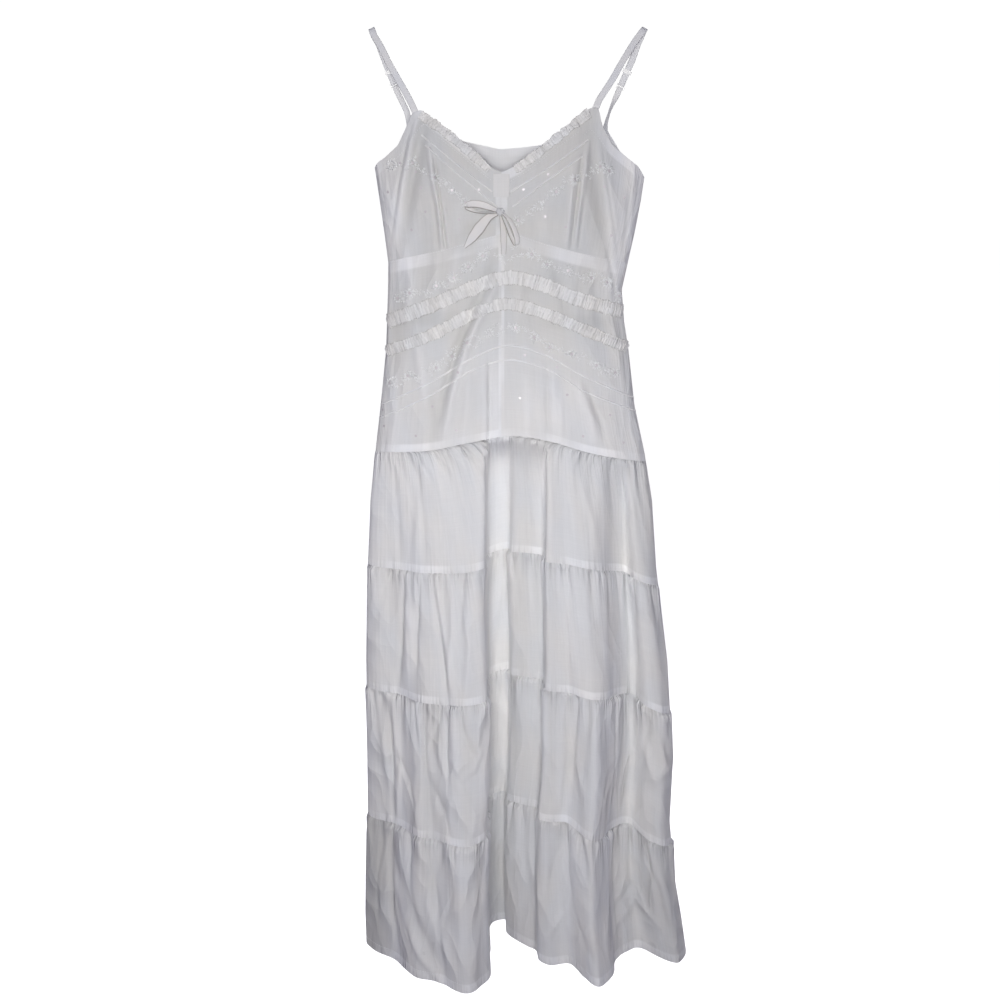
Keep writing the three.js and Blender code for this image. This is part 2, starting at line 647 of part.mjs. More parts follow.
add("bodice_front_left", bodiceFront(LEFT_SHARES), voile);
add("bodice_front_right", bodiceFront(RIGHT_SHARES), voile);
add("bodice_back", bodiceBack(), voile);
add("midriff_front_left", midriffFront(LEFT_SHARES), voile);
add("midriff_front_right", midriffFront(RIGHT_SHARES), voile);
add("midriff_back", midriffBack(), voile);
for (const number of [1, 2, 3, 4]) {
  add(`tier_${number}_front`, tier(number, FRONT), voile);
  add(`tier_${number}_back`, tier(number, BACK), voile);
}
add("ruche_upper", ruche("ruche_upper", 19, 0.05, 0.95), voile);
add("ruche_lower", ruche("ruche_lower", 16, 0.05, 0.95), voile);
add("neck_ruffle_left", neckRuffle([[-109, -119], [-82, -138], [-52, -162], [-29, -181], [-15, -194]]), voile);
add("neck_ruffle_right", neckRuffle([[20, -194], [35, -184], [55, -170], [82, -148], [109, -127], [122, -117]]), voile);
add("centre_band", centreBand(), voile);
for (const [name, spec] of Object.entries(straps)) {
  add(`strap_${name}`, strap(spec), strapCloth);
  add(`back_strap_${name}`, backStrap(spec), strapCloth);
  add(`ring_${name}`, ring(spec), plastic);
  add(`slider_${name}`, slider(spec), plastic);
}
add("tie_bow", tieBow(), strapCloth);

export default dress;
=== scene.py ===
import bmesh
import bpy
import numpy as np
from mathutils import Matrix, Vector


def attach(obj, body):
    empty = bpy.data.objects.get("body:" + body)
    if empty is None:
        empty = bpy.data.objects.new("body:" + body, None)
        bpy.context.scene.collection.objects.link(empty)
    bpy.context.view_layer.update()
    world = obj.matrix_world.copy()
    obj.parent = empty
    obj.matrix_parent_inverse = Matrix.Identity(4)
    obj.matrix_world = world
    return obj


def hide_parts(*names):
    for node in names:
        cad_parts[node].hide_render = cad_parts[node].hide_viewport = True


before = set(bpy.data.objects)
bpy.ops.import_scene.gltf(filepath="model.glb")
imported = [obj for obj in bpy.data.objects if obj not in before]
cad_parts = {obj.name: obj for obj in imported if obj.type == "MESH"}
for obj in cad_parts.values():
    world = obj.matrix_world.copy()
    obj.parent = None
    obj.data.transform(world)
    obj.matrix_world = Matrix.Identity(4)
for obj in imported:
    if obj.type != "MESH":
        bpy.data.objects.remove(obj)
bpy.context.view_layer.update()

# Cotton voile: every panel, ruche and ruffle is cut from this one thin plain weave.
# Its threads are uneven, a single layer looks light grey, and doubled cloth, at hems, facings and
# seam allowances, whiter.
MM = 0.001
VOILE_THICKNESS = 0.5
SHEER_WHITE = (0.628, 0.625, 0.606, 1)
DENSE_WHITE = (0.92, 0.918, 0.915, 1)
WARM_TINT = (1.0, 0.99, 0.975, 1)
COOL_TINT = (0.962, 0.972, 0.988, 1)
# How often each pattern changes in a metre, across the cut and along it
LENGTHWAYS_THREADS, CROSSWAYS_THREADS = (1300, 45, 1), (45, 1300, 1)
THICK_LENGTHWAYS, THICK_CROSSWAYS = (420, 11, 1), (11, 420, 1)
CLOUDS, PATCHES, PUCKERS, CRUSHED_CREASES = (17, 9, 1), (14, 8, 1), (190, 9, 1), (15, 8, 1)
RAGGED_EDGE = 0.3  # how far a doubled edge wanders, as a share of its width
PUCKER_SHADE = 0.16
THREAD_RELIEF, PUCKER_RELIEF, CRUSHED_RELIEF = 0.0003, 0.006, 0.0055


def new_material(name):
    """Material with nodes, its node tree and its shader."""
    material = bpy.data.materials.new(name)
    material.use_nodes = True
    return material, material.node_tree, material.node_tree.nodes["Principled BSDF"]


def add_node(tree, kind, inputs=(), **settings):
    """New shader node with its settings, and its inputs set to values or linked from other sockets."""
    node = tree.nodes.new(kind)
    for name, value in settings.items():
        setattr(node, name, value)
    for socket, value in dict(inputs).items():
        if isinstance(value, bpy.types.NodeSocket):
            tree.links.new(value, node.inputs[socket])
        else:
            node.inputs[socket].default_value = value
    return node


def worked_out(tree, operation, *values, **settings):
    """Result of a sum on numbers or sockets."""
    node = add_node(tree, "ShaderNodeMath", dict(enumerate(values)), operation=operation, **settings)
    return node.outputs[0]


def ranged(tree, value, start, end, low, high):
    """Value moved from the range start to end into the range low to high."""
    limits = {"Value": value, "From Min": start, "From Max": end, "To Min": low, "To Max": high}
    return add_node(tree, "ShaderNodeMapRange", limits).outputs[0]


def mark_of(tree, name):
    return add_node(tree, "ShaderNodeAttribute", attribute_name=name).outputs["Fac"]


def stretched(tree, place, scale):
    return add_node(tree, "ShaderNodeMapping", {"Vector": place, "Scale": scale}).outputs[0]


def threads(tree, place, scale):
    """Noise stretched along one direction of the weave, as thick and thin threads are."""
    noise = {"Vector": stretched(tree, place, scale), "Scale": 1, "Detail": 2}
    return add_node(tree, "ShaderNodeTexNoise", noise).outputs[0]


def blend_colours(tree, kind, amount, first, second):
    """Two colours mixed by a share of the second, or multiplied."""
    mix = tree.nodes.new("ShaderNodeMix")
    mix.data_type = "RGBA"
    mix.blend_type = kind
    for socket, value in ((0, amount), (6, first), (7, second)):
        if isinstance(value, bpy.types.NodeSocket):
            tree.links.new(value, mix.inputs[socket])
        else:
            mix.inputs[socket].default_value = value
    return mix.outputs[2]


def raised(tree, height, strength, distance, below=None):
    """Normal of a pattern in relief, on top of the relief below."""
    inputs = {"Height": height, "Strength": strength, "Distance": distance}
    if below:
        inputs["Normal"] = below
    return add_node(tree, "ShaderNodeBump", inputs).outputs[0]


def woven(name, sheer, dense, fold_gain, slub):
    """Plain weave that follows the cut map. It is denser where the mark called white says, and by the fold
    gain where the mark called layers is under 1. The mark called white also carries painted light and shade,
    and the hollows of the puckers get painted shade where the mark called pleats says."""
    material, tree, shader = new_material(name)
    place = add_node(tree, "ShaderNodeUVMap", uv_map="cut").outputs[0]
    thick_crossways = threads(tree, place, THICK_CROSSWAYS)

    ragged = worked_out(tree, "MULTIPLY_ADD", thick_crossways, RAGGED_EDGE, mark_of(tree, "layers"))
    folded = ranged(tree, ragged, 1.25, 1.04, 0, fold_gain)
    uneven = ranged(tree, threads(tree, place, PATCHES), 0.4, 0.58, 0.1, 1)
    density = worked_out(tree, "MULTIPLY_ADD", folded, uneven, mark_of(tree, "white"), use_clamp=True)
    colour = blend_colours(tree, "MIX", density, sheer, dense)
    clouds = ranged(tree, threads(tree, place, CLOUDS), 0.38, 0.62, 0, 1)
    tint = blend_colours(tree, "MIX", clouds, WARM_TINT, COOL_TINT)
    colour = blend_colours(tree, "MULTIPLY", 1.0, colour, tint)

    weave = threads(tree, place, LENGTHWAYS_THREADS)
    for other in (
        threads(tree, place, CROSSWAYS_THREADS),
        threads(tree, place, THICK_LENGTHWAYS),
        thick_crossways,
    ):
        weave = worked_out(tree, "ADD", weave, other)
    shade = ranged(tree, weave, 1.5, 2.5, 1 - slub, 1 + slub)
    pleats = mark_of(tree, "pleats")
    puckers = threads(tree, place, PUCKERS)
    # Painted shade in the hollows of the puckers, as strong as the pleats mark says.
    hollow = worked_out(tree, "MULTIPLY", ranged(tree, puckers, 0.5, 0.36, 0, PUCKER_SHADE), pleats)
    shade = worked_out(tree, "SUBTRACT", shade, hollow)
    grey = add_node(tree, "ShaderNodeCombineColor", {"Red": shade, "Green": shade, "Blue": shade}).outputs[0]
    tree.links.new(blend_colours(tree, "MULTIPLY", 1.0, colour, grey), shader.inputs["Base Color"])

    crushed = add_node(
        tree,
        "ShaderNodeTexNoise",
        {
            "Vector": stretched(tree, place, CRUSHED_CREASES),
            "Scale": 1,
            "Detail": 1.5,
            "Offset": 0.95,
            "Gain": 2,
            "Distortion": 0.25,
        },
        noise_type="RIDGED_MULTIFRACTAL",
    ).outputs[0]
    relief = raised(tree, weave, 0.25, THREAD_RELIEF)
    relief = raised(tree, worked_out(tree, "MULTIPLY", puckers, pleats), 1.0, PUCKER_RELIEF, relief)
    creased = worked_out(tree, "MULTIPLY", crushed, mark_of(tree, "creased"))
    relief = raised(tree, creased, 1.0, CRUSHED_RELIEF, relief)
    tree.links.new(relief, shader.inputs["Normal"])
    shader.inputs["Roughness"].default_value = 0.88
    shader.inputs["Specular IOR Level"].default_value = 0.2
    shader.inputs["Sheen Weight"].default_value = 0.15
    shader.inputs["Sheen Roughness"].default_value = 0.6
    return material


voile = woven("cotton_voile", SHEER_WHITE, DENSE_WHITE, 0.5, 0.03)

# Front of the bodice: two cups of voile, cut apart at the middle, with a facing along the neck and
# the armholes. Each is pulled up by its strap, and has narrow tucks under the bust.
OUTLINE = np.array(  # z, x of the left side, x of the right side
    [
        (-100, -188, 219), (-150, -182, 212), (-186, -176, 205), (-230, -170, 199), (-275, -164, 191),
        (-317, -159, 182), (-355, -160, 174), (-400, -162, 178), (-440, -164, 185), (-520, -173, 195),
        (-590, -182, 211), (-660, -190, 223), (-760, -196, 231), (-900, -201, 250), (-1050, -202, 261),
        (-1150, -203, 258), (-1250, -208, 268), (-1310, -210, 279), (-1400, -209, 293),
    ]
)
DEPTH = np.array(  # z, front, back
    [(-100, 48, 36), (-190, 50, 38), (-275, 46, 38), (-400, 45, 39), (-590, 50, 45)]
)
CUPS = [(-84, -215, 44, 7), (92, -212, 44, 7)]  # x, z, radius, height
CENTRE_X = 2
HALF_GAP = 0.02
SUPERELLIPSE = 2.2
SHARES = np.array([0, 0.2, 0.35, 0.5, 0.65, 0.8, 1])
EMPIRE = (-316, -303, -290, -279, -293, -306, -318)
FRONT_TOP = np.array(  # share of the width, z
    [
        (0, -187), (0.013, -181), (0.048, -174), (0.102, -159), (0.133, -139), (0.15, -127),
        (0.163, -117), (0.195, -113), (0.256, -132), (0.329, -157), (0.391, -177), (0.426, -190),
        (0.468, -197), (0.516, -189),
        (0.551, -179), (0.602, -165), (0.669, -143), (0.734, -122), (0.766, -111), (0.795, -110),
        (0.812, -133), (0.856, -159), (0.91, -173), (0.966, -186), (1, -200),
    ]
)
CENTRE_SHARE = 0.468
FACING = 12
CREASE_GAIN = 1.5
# Soft creases of the bodice and midriff: a line of places x, z, then its width and its height before the gain
BODICE_CREASES = [
    (((-113, -118), (-122, -153), (-137, -219), (-150, -290)), 7, 3.8),
    (((-104, -122), (-111, -160), (-124, -219), (-134, -286)), 9, -4.6),
    (((-117, -124), (-128, -155), (-142, -219), (-154, -292)), 3, -2.8),
    (((137, -150), (147, -200), (156, -250), (167, -312)), 3, -1.6),
    (((-99, -150), (-93, -200), (-84, -245), (-80, -298)), 3.8, 3.8),
    (((-90, -180), (-82, -240), (-76, -298)), 2.4, -4.0),
    (((-85, -205), (-76, -254), (-71, -298)), 2.8, 2.6),
    (((-92, -230), (-88, -262), (-86, -298)), 2.6, -1.8),
    (((134, -150), (144, -200), (152, -240), (164, -310)), 8, 2.8),
    (((121, -135), (131, -190), (140, -240), (150, -306)), 11, -3.2),
    (((122, -150), (116, -205), (110, -250), (104, -296)), 3.8, 2.8),
    (((112, -175), (106, -240), (100, -296)), 2.5, -3.4),
    (((101, -190), (97, -245), (93, -296)), 3.0, 2.6),
    (((117, -200), (113, -250), (109, -296)), 2.6, -1.6),
    (((-60, -235), (-58, -270), (-56, -290)), 8, 1.4),
    (((60, -235), (62, -270), (62, -292)), 9, 1.2),
    (((182, -212), (178, -260), (174, -312)), 4, -2.2),
    (((-152, -200), (-158, -250), (-160, -300)), 9, 1.2),
    (((-20, -262), (-46, -274), (-62, -290)), 6, -1.4),
    (((0, -322), (-22, -372), (-49, -437), (-68, -500), (-80, -566)), 6, 3.8),
    (((-10, -317), (-33, -372), (-61, -439), (-80, -502), (-92, -562)), 7, -4.4),
    (((-24, -452), (-23, -500), (-22, -572)), 5, 1.6),
    (((-17, -452), (-17, -500), (-16, -572)), 2.2, -2.4),
    (((-44, -466), (-48, -520), (-54, -572)), 5, 1.6),
    (((66, -462), (67, -515), (68, -566)), 4, -1.8),
    (((76, -462), (77, -515), (78, -566)), 6, 1.5),
    (((30, -320), (26, -360), (24, -400)), 7, 1.0),
    (((-88, -300), (-90, -340), (-94, -380)), 5, 1.2),
    (((128, -330), (138, -380), (146, -430)), 8, -1.3),
    (((122, -490), (140, -535), (152, -572)), 5, -2.4),
    (((-140, -330), (-146, -400), (-150, -470)), 9, -2.2),
    (((-120, -418), (-114, -458), (-108, -510)), 7, 2.6),
    (((150, -300), (160, -340), (166, -372)), 4, -2.6),
    (((110, -484), (128, -530), (138, -574)), 9, 2.8),
    (((86, -500), (87, -566)), 4, 1.8),
    (((-132, -300), (-128, -345), (-132, -400)), 6, 2.2),
    (((-60, -300), (-70, -350), (-84, -400)), 7, 2.2),
    (((-100, -500), (-96, -540), (-100, -584)), 6, -2.2),
    (((-150, -500), (-152, -540), (-160, -590)), 6, 2.0),
    (((60, -300), (84, -350), (96, -400)), 8, -1.8),
    (((36, -470), (40, -520), (40, -566)), 7, 1.4),
]


def at_height(rows, z, column):
    """Straight-line value of a column of a table at a height; its rows go down."""
    return np.interp(-z, -rows[:, 0], rows[:, column])


def x_at(share, z):
    """Where a share of the width lies at a height."""
    left = at_height(OUTLINE, z, 1)
    return left + (at_height(OUTLINE, z, 2) - left) * share


def share_at(x, z):
    """Share of the width of a place, from the left."""
    left = at_height(OUTLINE, z, 1)
    return (x - left) / (at_height(OUTLINE, z, 2) - left)


def roundness(share):
    """Depth of the dress at a share of its width, as a share of its greatest."""
    return np.sqrt(np.maximum(0, 1 - np.abs(2 * share - 1) ** SUPERELLIPSE))


def row_height(heights, share):
    """Height of a front seam at a share of the width, rounded at the middle."""
    heights = np.array(heights, dtype=float)
    last = len(SHARES) - 1
    low = np.maximum(np.arange(last + 1) - 1, 0)
    high = np.minimum(np.arange(last + 1) + 1, last)
    slopes = (heights[high] - heights[low]) / (SHARES[high] - SHARES[low])
    i = np.clip(np.searchsorted(SHARES, share, side="left") - 1, 0, last - 1)
    width = SHARES[i + 1] - SHARES[i]
    f = (share - SHARES[i]) / width
    return (
        heights[i] * (2 * f**3 - 3 * f**2 + 1)
        + slopes[i] * width * (f**3 - 2 * f**2 + f)
        + heights[i + 1] * (3 * f**2 - 2 * f**3)
        + slopes[i + 1] * width * (f**3 - f**2)
    )


def crease_height(creases, x, z):
    """How far the creases lift the cloth at each place, fading at both ends of each."""
    total = np.zeros_like(x)
    for line, width, height in creases:
        line = np.array(line, dtype=float)
        steps = np.linalg.norm(np.diff(line, axis=0), axis=1)
        starts = np.concatenate([[0], np.cumsum(steps)])
        nearest = np.full_like(x, np.inf)
        along = np.zeros_like(x)
        for k, step in enumerate(steps):
            a, b = line[k], line[k + 1]
            f = np.clip(((x - a[0]) * (b[0] - a[0]) + (z - a[1]) * (b[1] - a[1])) / step**2, 0, 1)
            away = np.hypot(x - a[0] - f * (b[0] - a[0]), z - a[1] - f * (b[1] - a[1]))
            closer = away < nearest
            nearest = np.where(closer, away, nearest)
            along = np.where(closer, (starts[k] + f * step) / starts[-1], along)
        fade = np.sin(np.pi * np.clip(along, 0.02, 0.98)) ** 0.4
        total += height * fade * np.exp(-((nearest / width) ** 2))
    return total * CREASE_GAIN


def front_points(share, z):
    """Points of the front above the skirt, creases included."""
    x = x_at(share, z)
    cups = sum(
        height * np.exp(-((x - cx) ** 2 + (z - cz) ** 2) / radius**2) for cx, cz, radius, height in CUPS
    )
    lift = at_height(DEPTH, z, 1) + cups + crease_height(BODICE_CREASES, x, z)
    return np.stack([x, -roundness(share) * lift, z], axis=-1)


def top_edge(rows, share):
    """Top edge of a panel, with its corners a little rounded."""
    near = (-0.006, -0.003, 0, 0.003, 0.006)
    return sum(np.interp(share + step, rows[:, 0], rows[:, 1]) for step in near) / len(near)


def side_shares(start, end, columns):
    """Shares of the width that are close together near the side seams, where the panel turns back."""
    turns = np.linspace(np.arccos(1 - 2 * start), np.arccos(1 - 2 * end), columns + 1)
    return (1 - np.cos(turns)) / 2


def distance_to(x, z, line_x, line_z):
    """Distance of each place from the points of a line, in mm."""
    nearest = np.full(x.shape, np.inf)
    for px, pz in zip(line_x, line_z):
        nearest = np.minimum(nearest, np.hypot(x - px, z - pz))
    return nearest


SKIRT_WHITENESS = 0.52
SIDE_SEAM_SHARE = 0.16
# The side seams look whiter where they are pressed open inside, and painted light also lifts the shade where
# the sides turn away from the lamp, most on the right.
SIDE_SEAM_WHITENESS_AND_LIGHT = (0.5, 0.8)  # left, right
# Patches painted whiter or greyer on the front; under and between the ruches the grey is painted shade: x, z,
# half width, half height, how much whiter it looks
WHITER_AND_SHADED_PATCHES = [
    (-8, -512, 9, 62, 0.22), (70, -515, 46, 34, 0.12), (-62, -512, 40, 40, -0.08), (24, -350, 40, 12, -0.1),
    (-104, -395, 50, 10, -0.14), (110, -400, 50, 10, -0.14), (-130, -250, 30, 44, 0.12),
    (24, -264, 30, 20, -0.06),
]
# Painted highlight on the ridge of each crease, and painted shade in its hollow.
CREASE_HIGHLIGHT_AND_SHADE = 0.06  # the ridge of a crease looks whiter, and its hollow greyer
SMOOTH_PUCKERS, SIDE_PUCKERS = 0.1, 0.22
FRONT_CRUSH = 0.45


def whiteness(z):
    """The bodice is sheer, and the skirt looks whiter, because more layers hang behind it."""
    return np.interp(-z, (100, 330, 400, 440, 590), (0.12, 0.16, 0.16, 0.3, SKIRT_WHITENESS))


def front_whiteness_and_light(share, x, z):
    """The front is whiter at its side seams, which are pressed open inside, with painted light there on the
    sides that turn away. Patches make it whiter or greyer, and each crease gets a painted highlight on its
    ridge and painted shade in its hollow.
    """
    edge = np.clip(1 - np.minimum(share, 1 - share) / SIDE_SEAM_SHARE, 0, 1)
    sides = np.where(share < 0.5, *SIDE_SEAM_WHITENESS_AND_LIGHT) * edge * np.interp(-z, (150, 320, 420), (1, 1, 0.2))
    patches = np.zeros_like(x)
    for px, pz, half_width, half_height, amount in WHITER_AND_SHADED_PATCHES:
        patches += amount * np.exp(-(((x - px) / half_width) ** 4) - ((z - pz) / half_height) ** 4)
    return whiteness(z) + sides + patches + CREASE_HIGHLIGHT_AND_SHADE * crease_height(BODICE_CREASES, x, z)


def puckers_of(x, z):
    """How much the cloth puckers, which is most along the side seams."""
    share = share_at(x, z)
    return SIDE_PUCKERS * np.exp(-np.minimum(share, 1 - share) / 0.03) + SMOOTH_PUCKERS


def grid_mesh(name, points, cut, row_shares, marks=(), inside_out=False):
    """Mesh from rows of points in mm, top row first. cut is the flat size that its map is laid out on."""
    rows, columns = points.shape[:2]
    bm = bmesh.new()
    bmesh.ops.create_grid(bm, x_segments=columns - 1, y_segments=rows - 1, size=0.5)
    mesh = bpy.data.meshes.new(name)
    bm.to_mesh(mesh)
    bm.free()
    flat = np.empty(len(mesh.vertices) * 3)
    mesh.vertices.foreach_get("co", flat)
    column = np.rint((flat[0::3] + 0.5) * (columns - 1)).astype(int)
    row = np.rint((0.5 - flat[1::3]) * (rows - 1)).astype(int)
    mesh.vertices.foreach_set("co", (points[row, column] * MM).ravel())
    corner = np.empty(len(mesh.loops), dtype=np.int32)
    mesh.loops.foreach_get("vertex_index", corner)
    across = column / (columns - 1) * cut[0] * MM
    up = (1 - np.asarray(row_shares)[row]) * cut[1] * MM
    mesh.uv_layers.new(name="cut").data.foreach_set("uv", np.column_stack([across, up])[corner].ravel())
    for mark, values in dict(marks).items():
        mesh.attributes.new(mark, "FLOAT", "POINT").data.foreach_set("value", values[row, column].ravel())
    if inside_out:
        mesh.flip_normals()
    mesh.polygons.foreach_set("use_smooth", np.ones(len(mesh.polygons), dtype=bool))
    mesh.update()
    return mesh


def piece_of(mesh, material, thickness=None, offset=-1.0):
    """Object of the finished mesh, with the thickness of its cloth in mm."""
    piece = bpy.data.objects.new(mesh.name, mesh)
    bpy.context.scene.collection.objects.link(piece)
    mesh.materials.append(material)
    if thickness:
        wall = piece.modifiers.new("thickness", "SOLIDIFY")
        wall.thickness = thickness * MM
        wall.offset = offset
        flat_edges = piece.modifiers.new("flat edges", "WEIGHTED_NORMAL")
        flat_edges.mode = "FACE_AREA"
        flat_edges.weight = 100
    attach(piece, "root")
    return piece


def front_panel(name, shares, rows, top, bottom, layers_of, cut):
    """Panel of the front between two edges, split at the middle seam."""
    row_shares = np.linspace(0, 1, rows + 1)
    share = np.broadcast_to(shares, (rows + 1, len(shares)))
    z = top + (bottom + HALF_GAP - top) * row_shares[:, None]
    points = front_points(share, z)
    away = (share - CENTRE_SHARE) / 0.1
    points[..., 0] += (CENTRE_X - x_at(CENTRE_SHARE, z)) * np.exp(-(away**2))
    x = points[..., 0]
    marks = {
        "layers": layers_of(x, z),
        "white": front_whiteness_and_light(share, x, z),
        "pleats": puckers_of(x, z),
        "creased": np.full(x.shape, FRONT_CRUSH),
    }
    mesh = grid_mesh(name, points, cut, row_shares, marks)
    return piece_of(mesh, voile, VOILE_THICKNESS)


BODICE_ROWS = 76
CUP_COLUMNS = {"left": 130, "right": 150}
CUP_SPANS = {"left": (0, CENTRE_SHARE), "right": (CENTRE_SHARE, 1)}
CUP_CUTS = {"left": (205, 185), "right": (235, 205)}
SEAM_ALLOWANCE = 8
for side, (start, end) in CUP_SPANS.items():
    shares = side_shares(start, end, CUP_COLUMNS[side])
    top = top_edge(FRONT_TOP, shares)
    edge_x = x_at(shares, top)

    def cup_layers(x, z, edge_x=edge_x, top=top):
        facing = distance_to(x, z, edge_x, top) / FACING
        return np.minimum(facing, np.abs(x - CENTRE_X) / SEAM_ALLOWANCE)

    name = f"bodice_front_{side}"
    cup = front_panel(
        f"{name}_voile", shares, BODICE_ROWS, top, row_height(EMPIRE, shares), cup_layers, CUP_CUTS[side]
    )
    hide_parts(name)

# Front of the midriff: two smooth panels of voile from under the bust to the hips, joined at the middle.
# The seam under the bust is pressed down over them, and the first tier's seam up.
SEAM_1 = (-587, -582, -570, -560, -568, -586, -602)
MIDRIFF_ROWS = 96
EMPIRE_ALLOWANCE = 17
MIDDLE_ALLOWANCE = 4
TIER_ALLOWANCE = 11
MIDRIFF_CUTS = {"left": (215, 290), "right": (240, 290)}
for side, (start, end) in CUP_SPANS.items():
    shares = side_shares(start, end, CUP_COLUMNS[side])
    top, bottom = row_height(EMPIRE, shares) - HALF_GAP, row_height(SEAM_1, shares)

    def midriff_layers(x, z, top=top, bottom=bottom):
        pressed = np.minimum((top - z) / EMPIRE_ALLOWANCE, (z - bottom) / TIER_ALLOWANCE)
        return np.minimum(pressed, np.abs(x - CENTRE_X) / MIDDLE_ALLOWANCE)

    name = f"midriff_front_{side}"
    midriff = front_panel(
        f"{name}_voile", shares, MIDRIFF_ROWS, top, bottom, midriff_layers, MIDRIFF_CUTS[side]
    )
    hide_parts(name)

# Back of the bodice and of the midriff: two plain panels across the whole back, with the neck turned in.
# The photo shows only the inside of the neck edge, so the rest is smooth, with long soft folds.
BACK_TOP = np.array(  # share of the width, z
    [
        (0, -187), (0.05, -176), (0.09, -160), (0.12, -135), (0.135, -122), (0.165, -122), (0.25, -134),
        (0.33, -146), (0.465, -157), (0.6, -152), (0.72, -140), (0.805, -129), (0.84, -129), (0.86, -140),
        (0.9, -162), (0.95, -183), (1, -200),
    ]
)
BACK_CREASES = [
    (((-126, -135), (-116, -210), (-112, -305)), 9, 2.6),
    (((-104, -150), (-90, -225), (-84, -306)), 11, -2.4),
    (((146, -140), (134, -215), (128, -308)), 10, 2.8),
    (((118, -150), (104, -230), (98, -308)), 12, -2.2),
    (((-40, -180), (-20, -240), (-30, -310)), 14, 1.8),
    (((60, -175), (40, -250), (48, -310)), 13, 1.6),
    (((-100, -330), (-108, -450), (-124, -580)), 11, 2.4),
    (((-60, -330), (-66, -440), (-70, -582)), 13, -2.2),
    (((-10, -340), (-4, -460), (4, -585)), 12, 2.4),
    (((44, -330), (54, -450), (60, -588)), 12, -2.4),
    (((100, -330), (112, -460), (126, -590)), 12, 2.6),
    (((140, -340), (150, -460), (166, -590)), 9, -1.8),
]
BACK_COLUMNS = 200
# Painted light on the inside of the back, which lifts the shade that the front casts on it.
BACK_PAINTED_LIGHT = ((316, 590), (0.7, 0))  # depths under the straps, and how much whiter the back is there


def back_points(share, z):
    """Points of the back above the skirt, creases included."""
    x = x_at(share, z)
    lift = at_height(DEPTH, z, 2) + crease_height(BACK_CREASES, x, z)
    return np.stack([x, roundness(share) * lift, z], axis=-1)


def back_height(heights, share):
    """A back seam runs straight from side seam to side seam."""
    return heights[0] + (heights[-1] - heights[0]) * share


back_shares = side_shares(0, 1, BACK_COLUMNS)
BACK_PANELS = [  # name, what it hangs from, rows, top edge, bottom edge, cut, share of the cut that is cloth
    (
        "bodice_back", ["back_strap_left", "back_strap_right"], 54,
        top_edge(BACK_TOP, back_shares), EMPIRE, (420, 200), 0.75,
    ),
    (
        "midriff_back", ["bodice_back_voile"], 80,
        back_height(EMPIRE, back_shares) - HALF_GAP, SEAM_1, (450, 285), 1.0,
    ),
]
for name, above, rows, top, seam, cut, filled in BACK_PANELS:
    row_shares = np.linspace(0, 1, rows + 1)
    share = np.broadcast_to(back_shares, (rows + 1, len(back_shares)))
    bottom = back_height(seam, back_shares) + HALF_GAP
    z = top + (bottom - top) * row_shares[:, None]
    points = back_points(share, z)
    turned_in = distance_to(points[..., 0], z, x_at(back_shares, top), top) / FACING
    layers = np.minimum(turned_in, (z - bottom) / TIER_ALLOWANCE)
    marks = {"layers": layers, "white": whiteness(z) + np.interp(-z, *BACK_PAINTED_LIGHT)}
    mesh = grid_mesh(f"{name}_voile", points, cut, row_shares, marks, inside_out=True)
    panel = piece_of(mesh, voile, VOILE_THICKNESS)
    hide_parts(name)

# Skirt: four tiers, each of a front and a back length of voile gathered on to the one above.
# They hang in deep folds, with a hollow in the front between two full lobes.
SKIRT_SEAMS = [  # name, heights, share of the way down the skirt, allowance above it
    ("seam_1", SEAM_1, 0, TIER_ALLOWANCE),
    ("seam_2", (-755, -758, -754, -738, -743, -755, -786), 0.22, TIER_ALLOWANCE),
    ("seam_3", (-941, -948, -945, -931, -935, -945, -980), 0.465, TIER_ALLOWANCE),
    ("seam_4", (-1146, -1148, -1149, -1132, -1134, -1153, -1184), 0.73, TIER_ALLOWANCE),
    ("hem", (-1361, -1361, -1362, -1355, -1357, -1360, -1363), 1, 13),
]
# Folds in plan: share of the width at the top, at the hem, depth at the hem, early, inset
FRONT_FOLDS = np.array(
    [
        (0, 0, 10, 1, 0), (0.03, 0.03, -22, 1, 0), (0.152, 0.1, -48, 1, 4), (0.2, 0.165, -98, 1.1, 0),
        (0.27, 0.23, -110, 1.1, 0), (0.36, 0.325, -140, 1.1, 0), (0.405, 0.383, -112, 0.9, 0),
        (0.413, 0.391, -30, 0.4, 0), (0.425, 0.397, 62, 0.35, 10), (0.5, 0.438, 66, 0.35, 12),
        (0.52, 0.445, 25, 0.5, 15), (0.59, 0.51, -22, 0.6, 32), (0.626, 0.534, -34, 0.5, 34),
        (0.64, 0.5405, -64, 0.7, 0), (0.665, 0.575, -76, 1, 0), (0.7, 0.634, -68, 1, 0),
        (0.73, 0.672, -103, 1, 0), (0.76, 0.712, -130, 1.1, 0), (0.8, 0.752, -105, 1.1, 0),
        (0.843, 0.79, -45, 0.8, 8), (0.905, 0.852, -15, 0.8, 28), (0.93, 0.91, -40, 1, 0),
        (0.965, 0.965, -58, 1, 0), (1, 1, -22, 1, 0),
    ]
)
BACK_FOLDS = np.array(
    [
        (0, 0, 10, 1, 0), (0.03, 0.025, 46, 1, 0), (0.11, 0.085, 98, 1, 0), (0.19, 0.165, 142, 1, 0),
        (0.27, 0.25, 86, 0.8, 0), (0.35, 0.335, 140, 1, 0), (0.42, 0.42, 88, 0.8, 0),
        (0.5, 0.5, 144, 1, 0), (0.58, 0.585, 90, 0.8, 0), (0.66, 0.665, 146, 1, 0),
        (0.74, 0.75, 86, 0.8, 0), (0.82, 0.835, 138, 1, 0),
        (0.9, 0.915, 82, 1, 0), (0.97, 0.975, 34, 1, 0), (1, 1, -22, 1, 0),
    ]
)
INSET_SCALE = 2.6
PLAN_WIDTH = 450
SPAN_SAMPLES = 14
FRONT_TOP_DEPTH, BACK_TOP_DEPTH = -50, 45
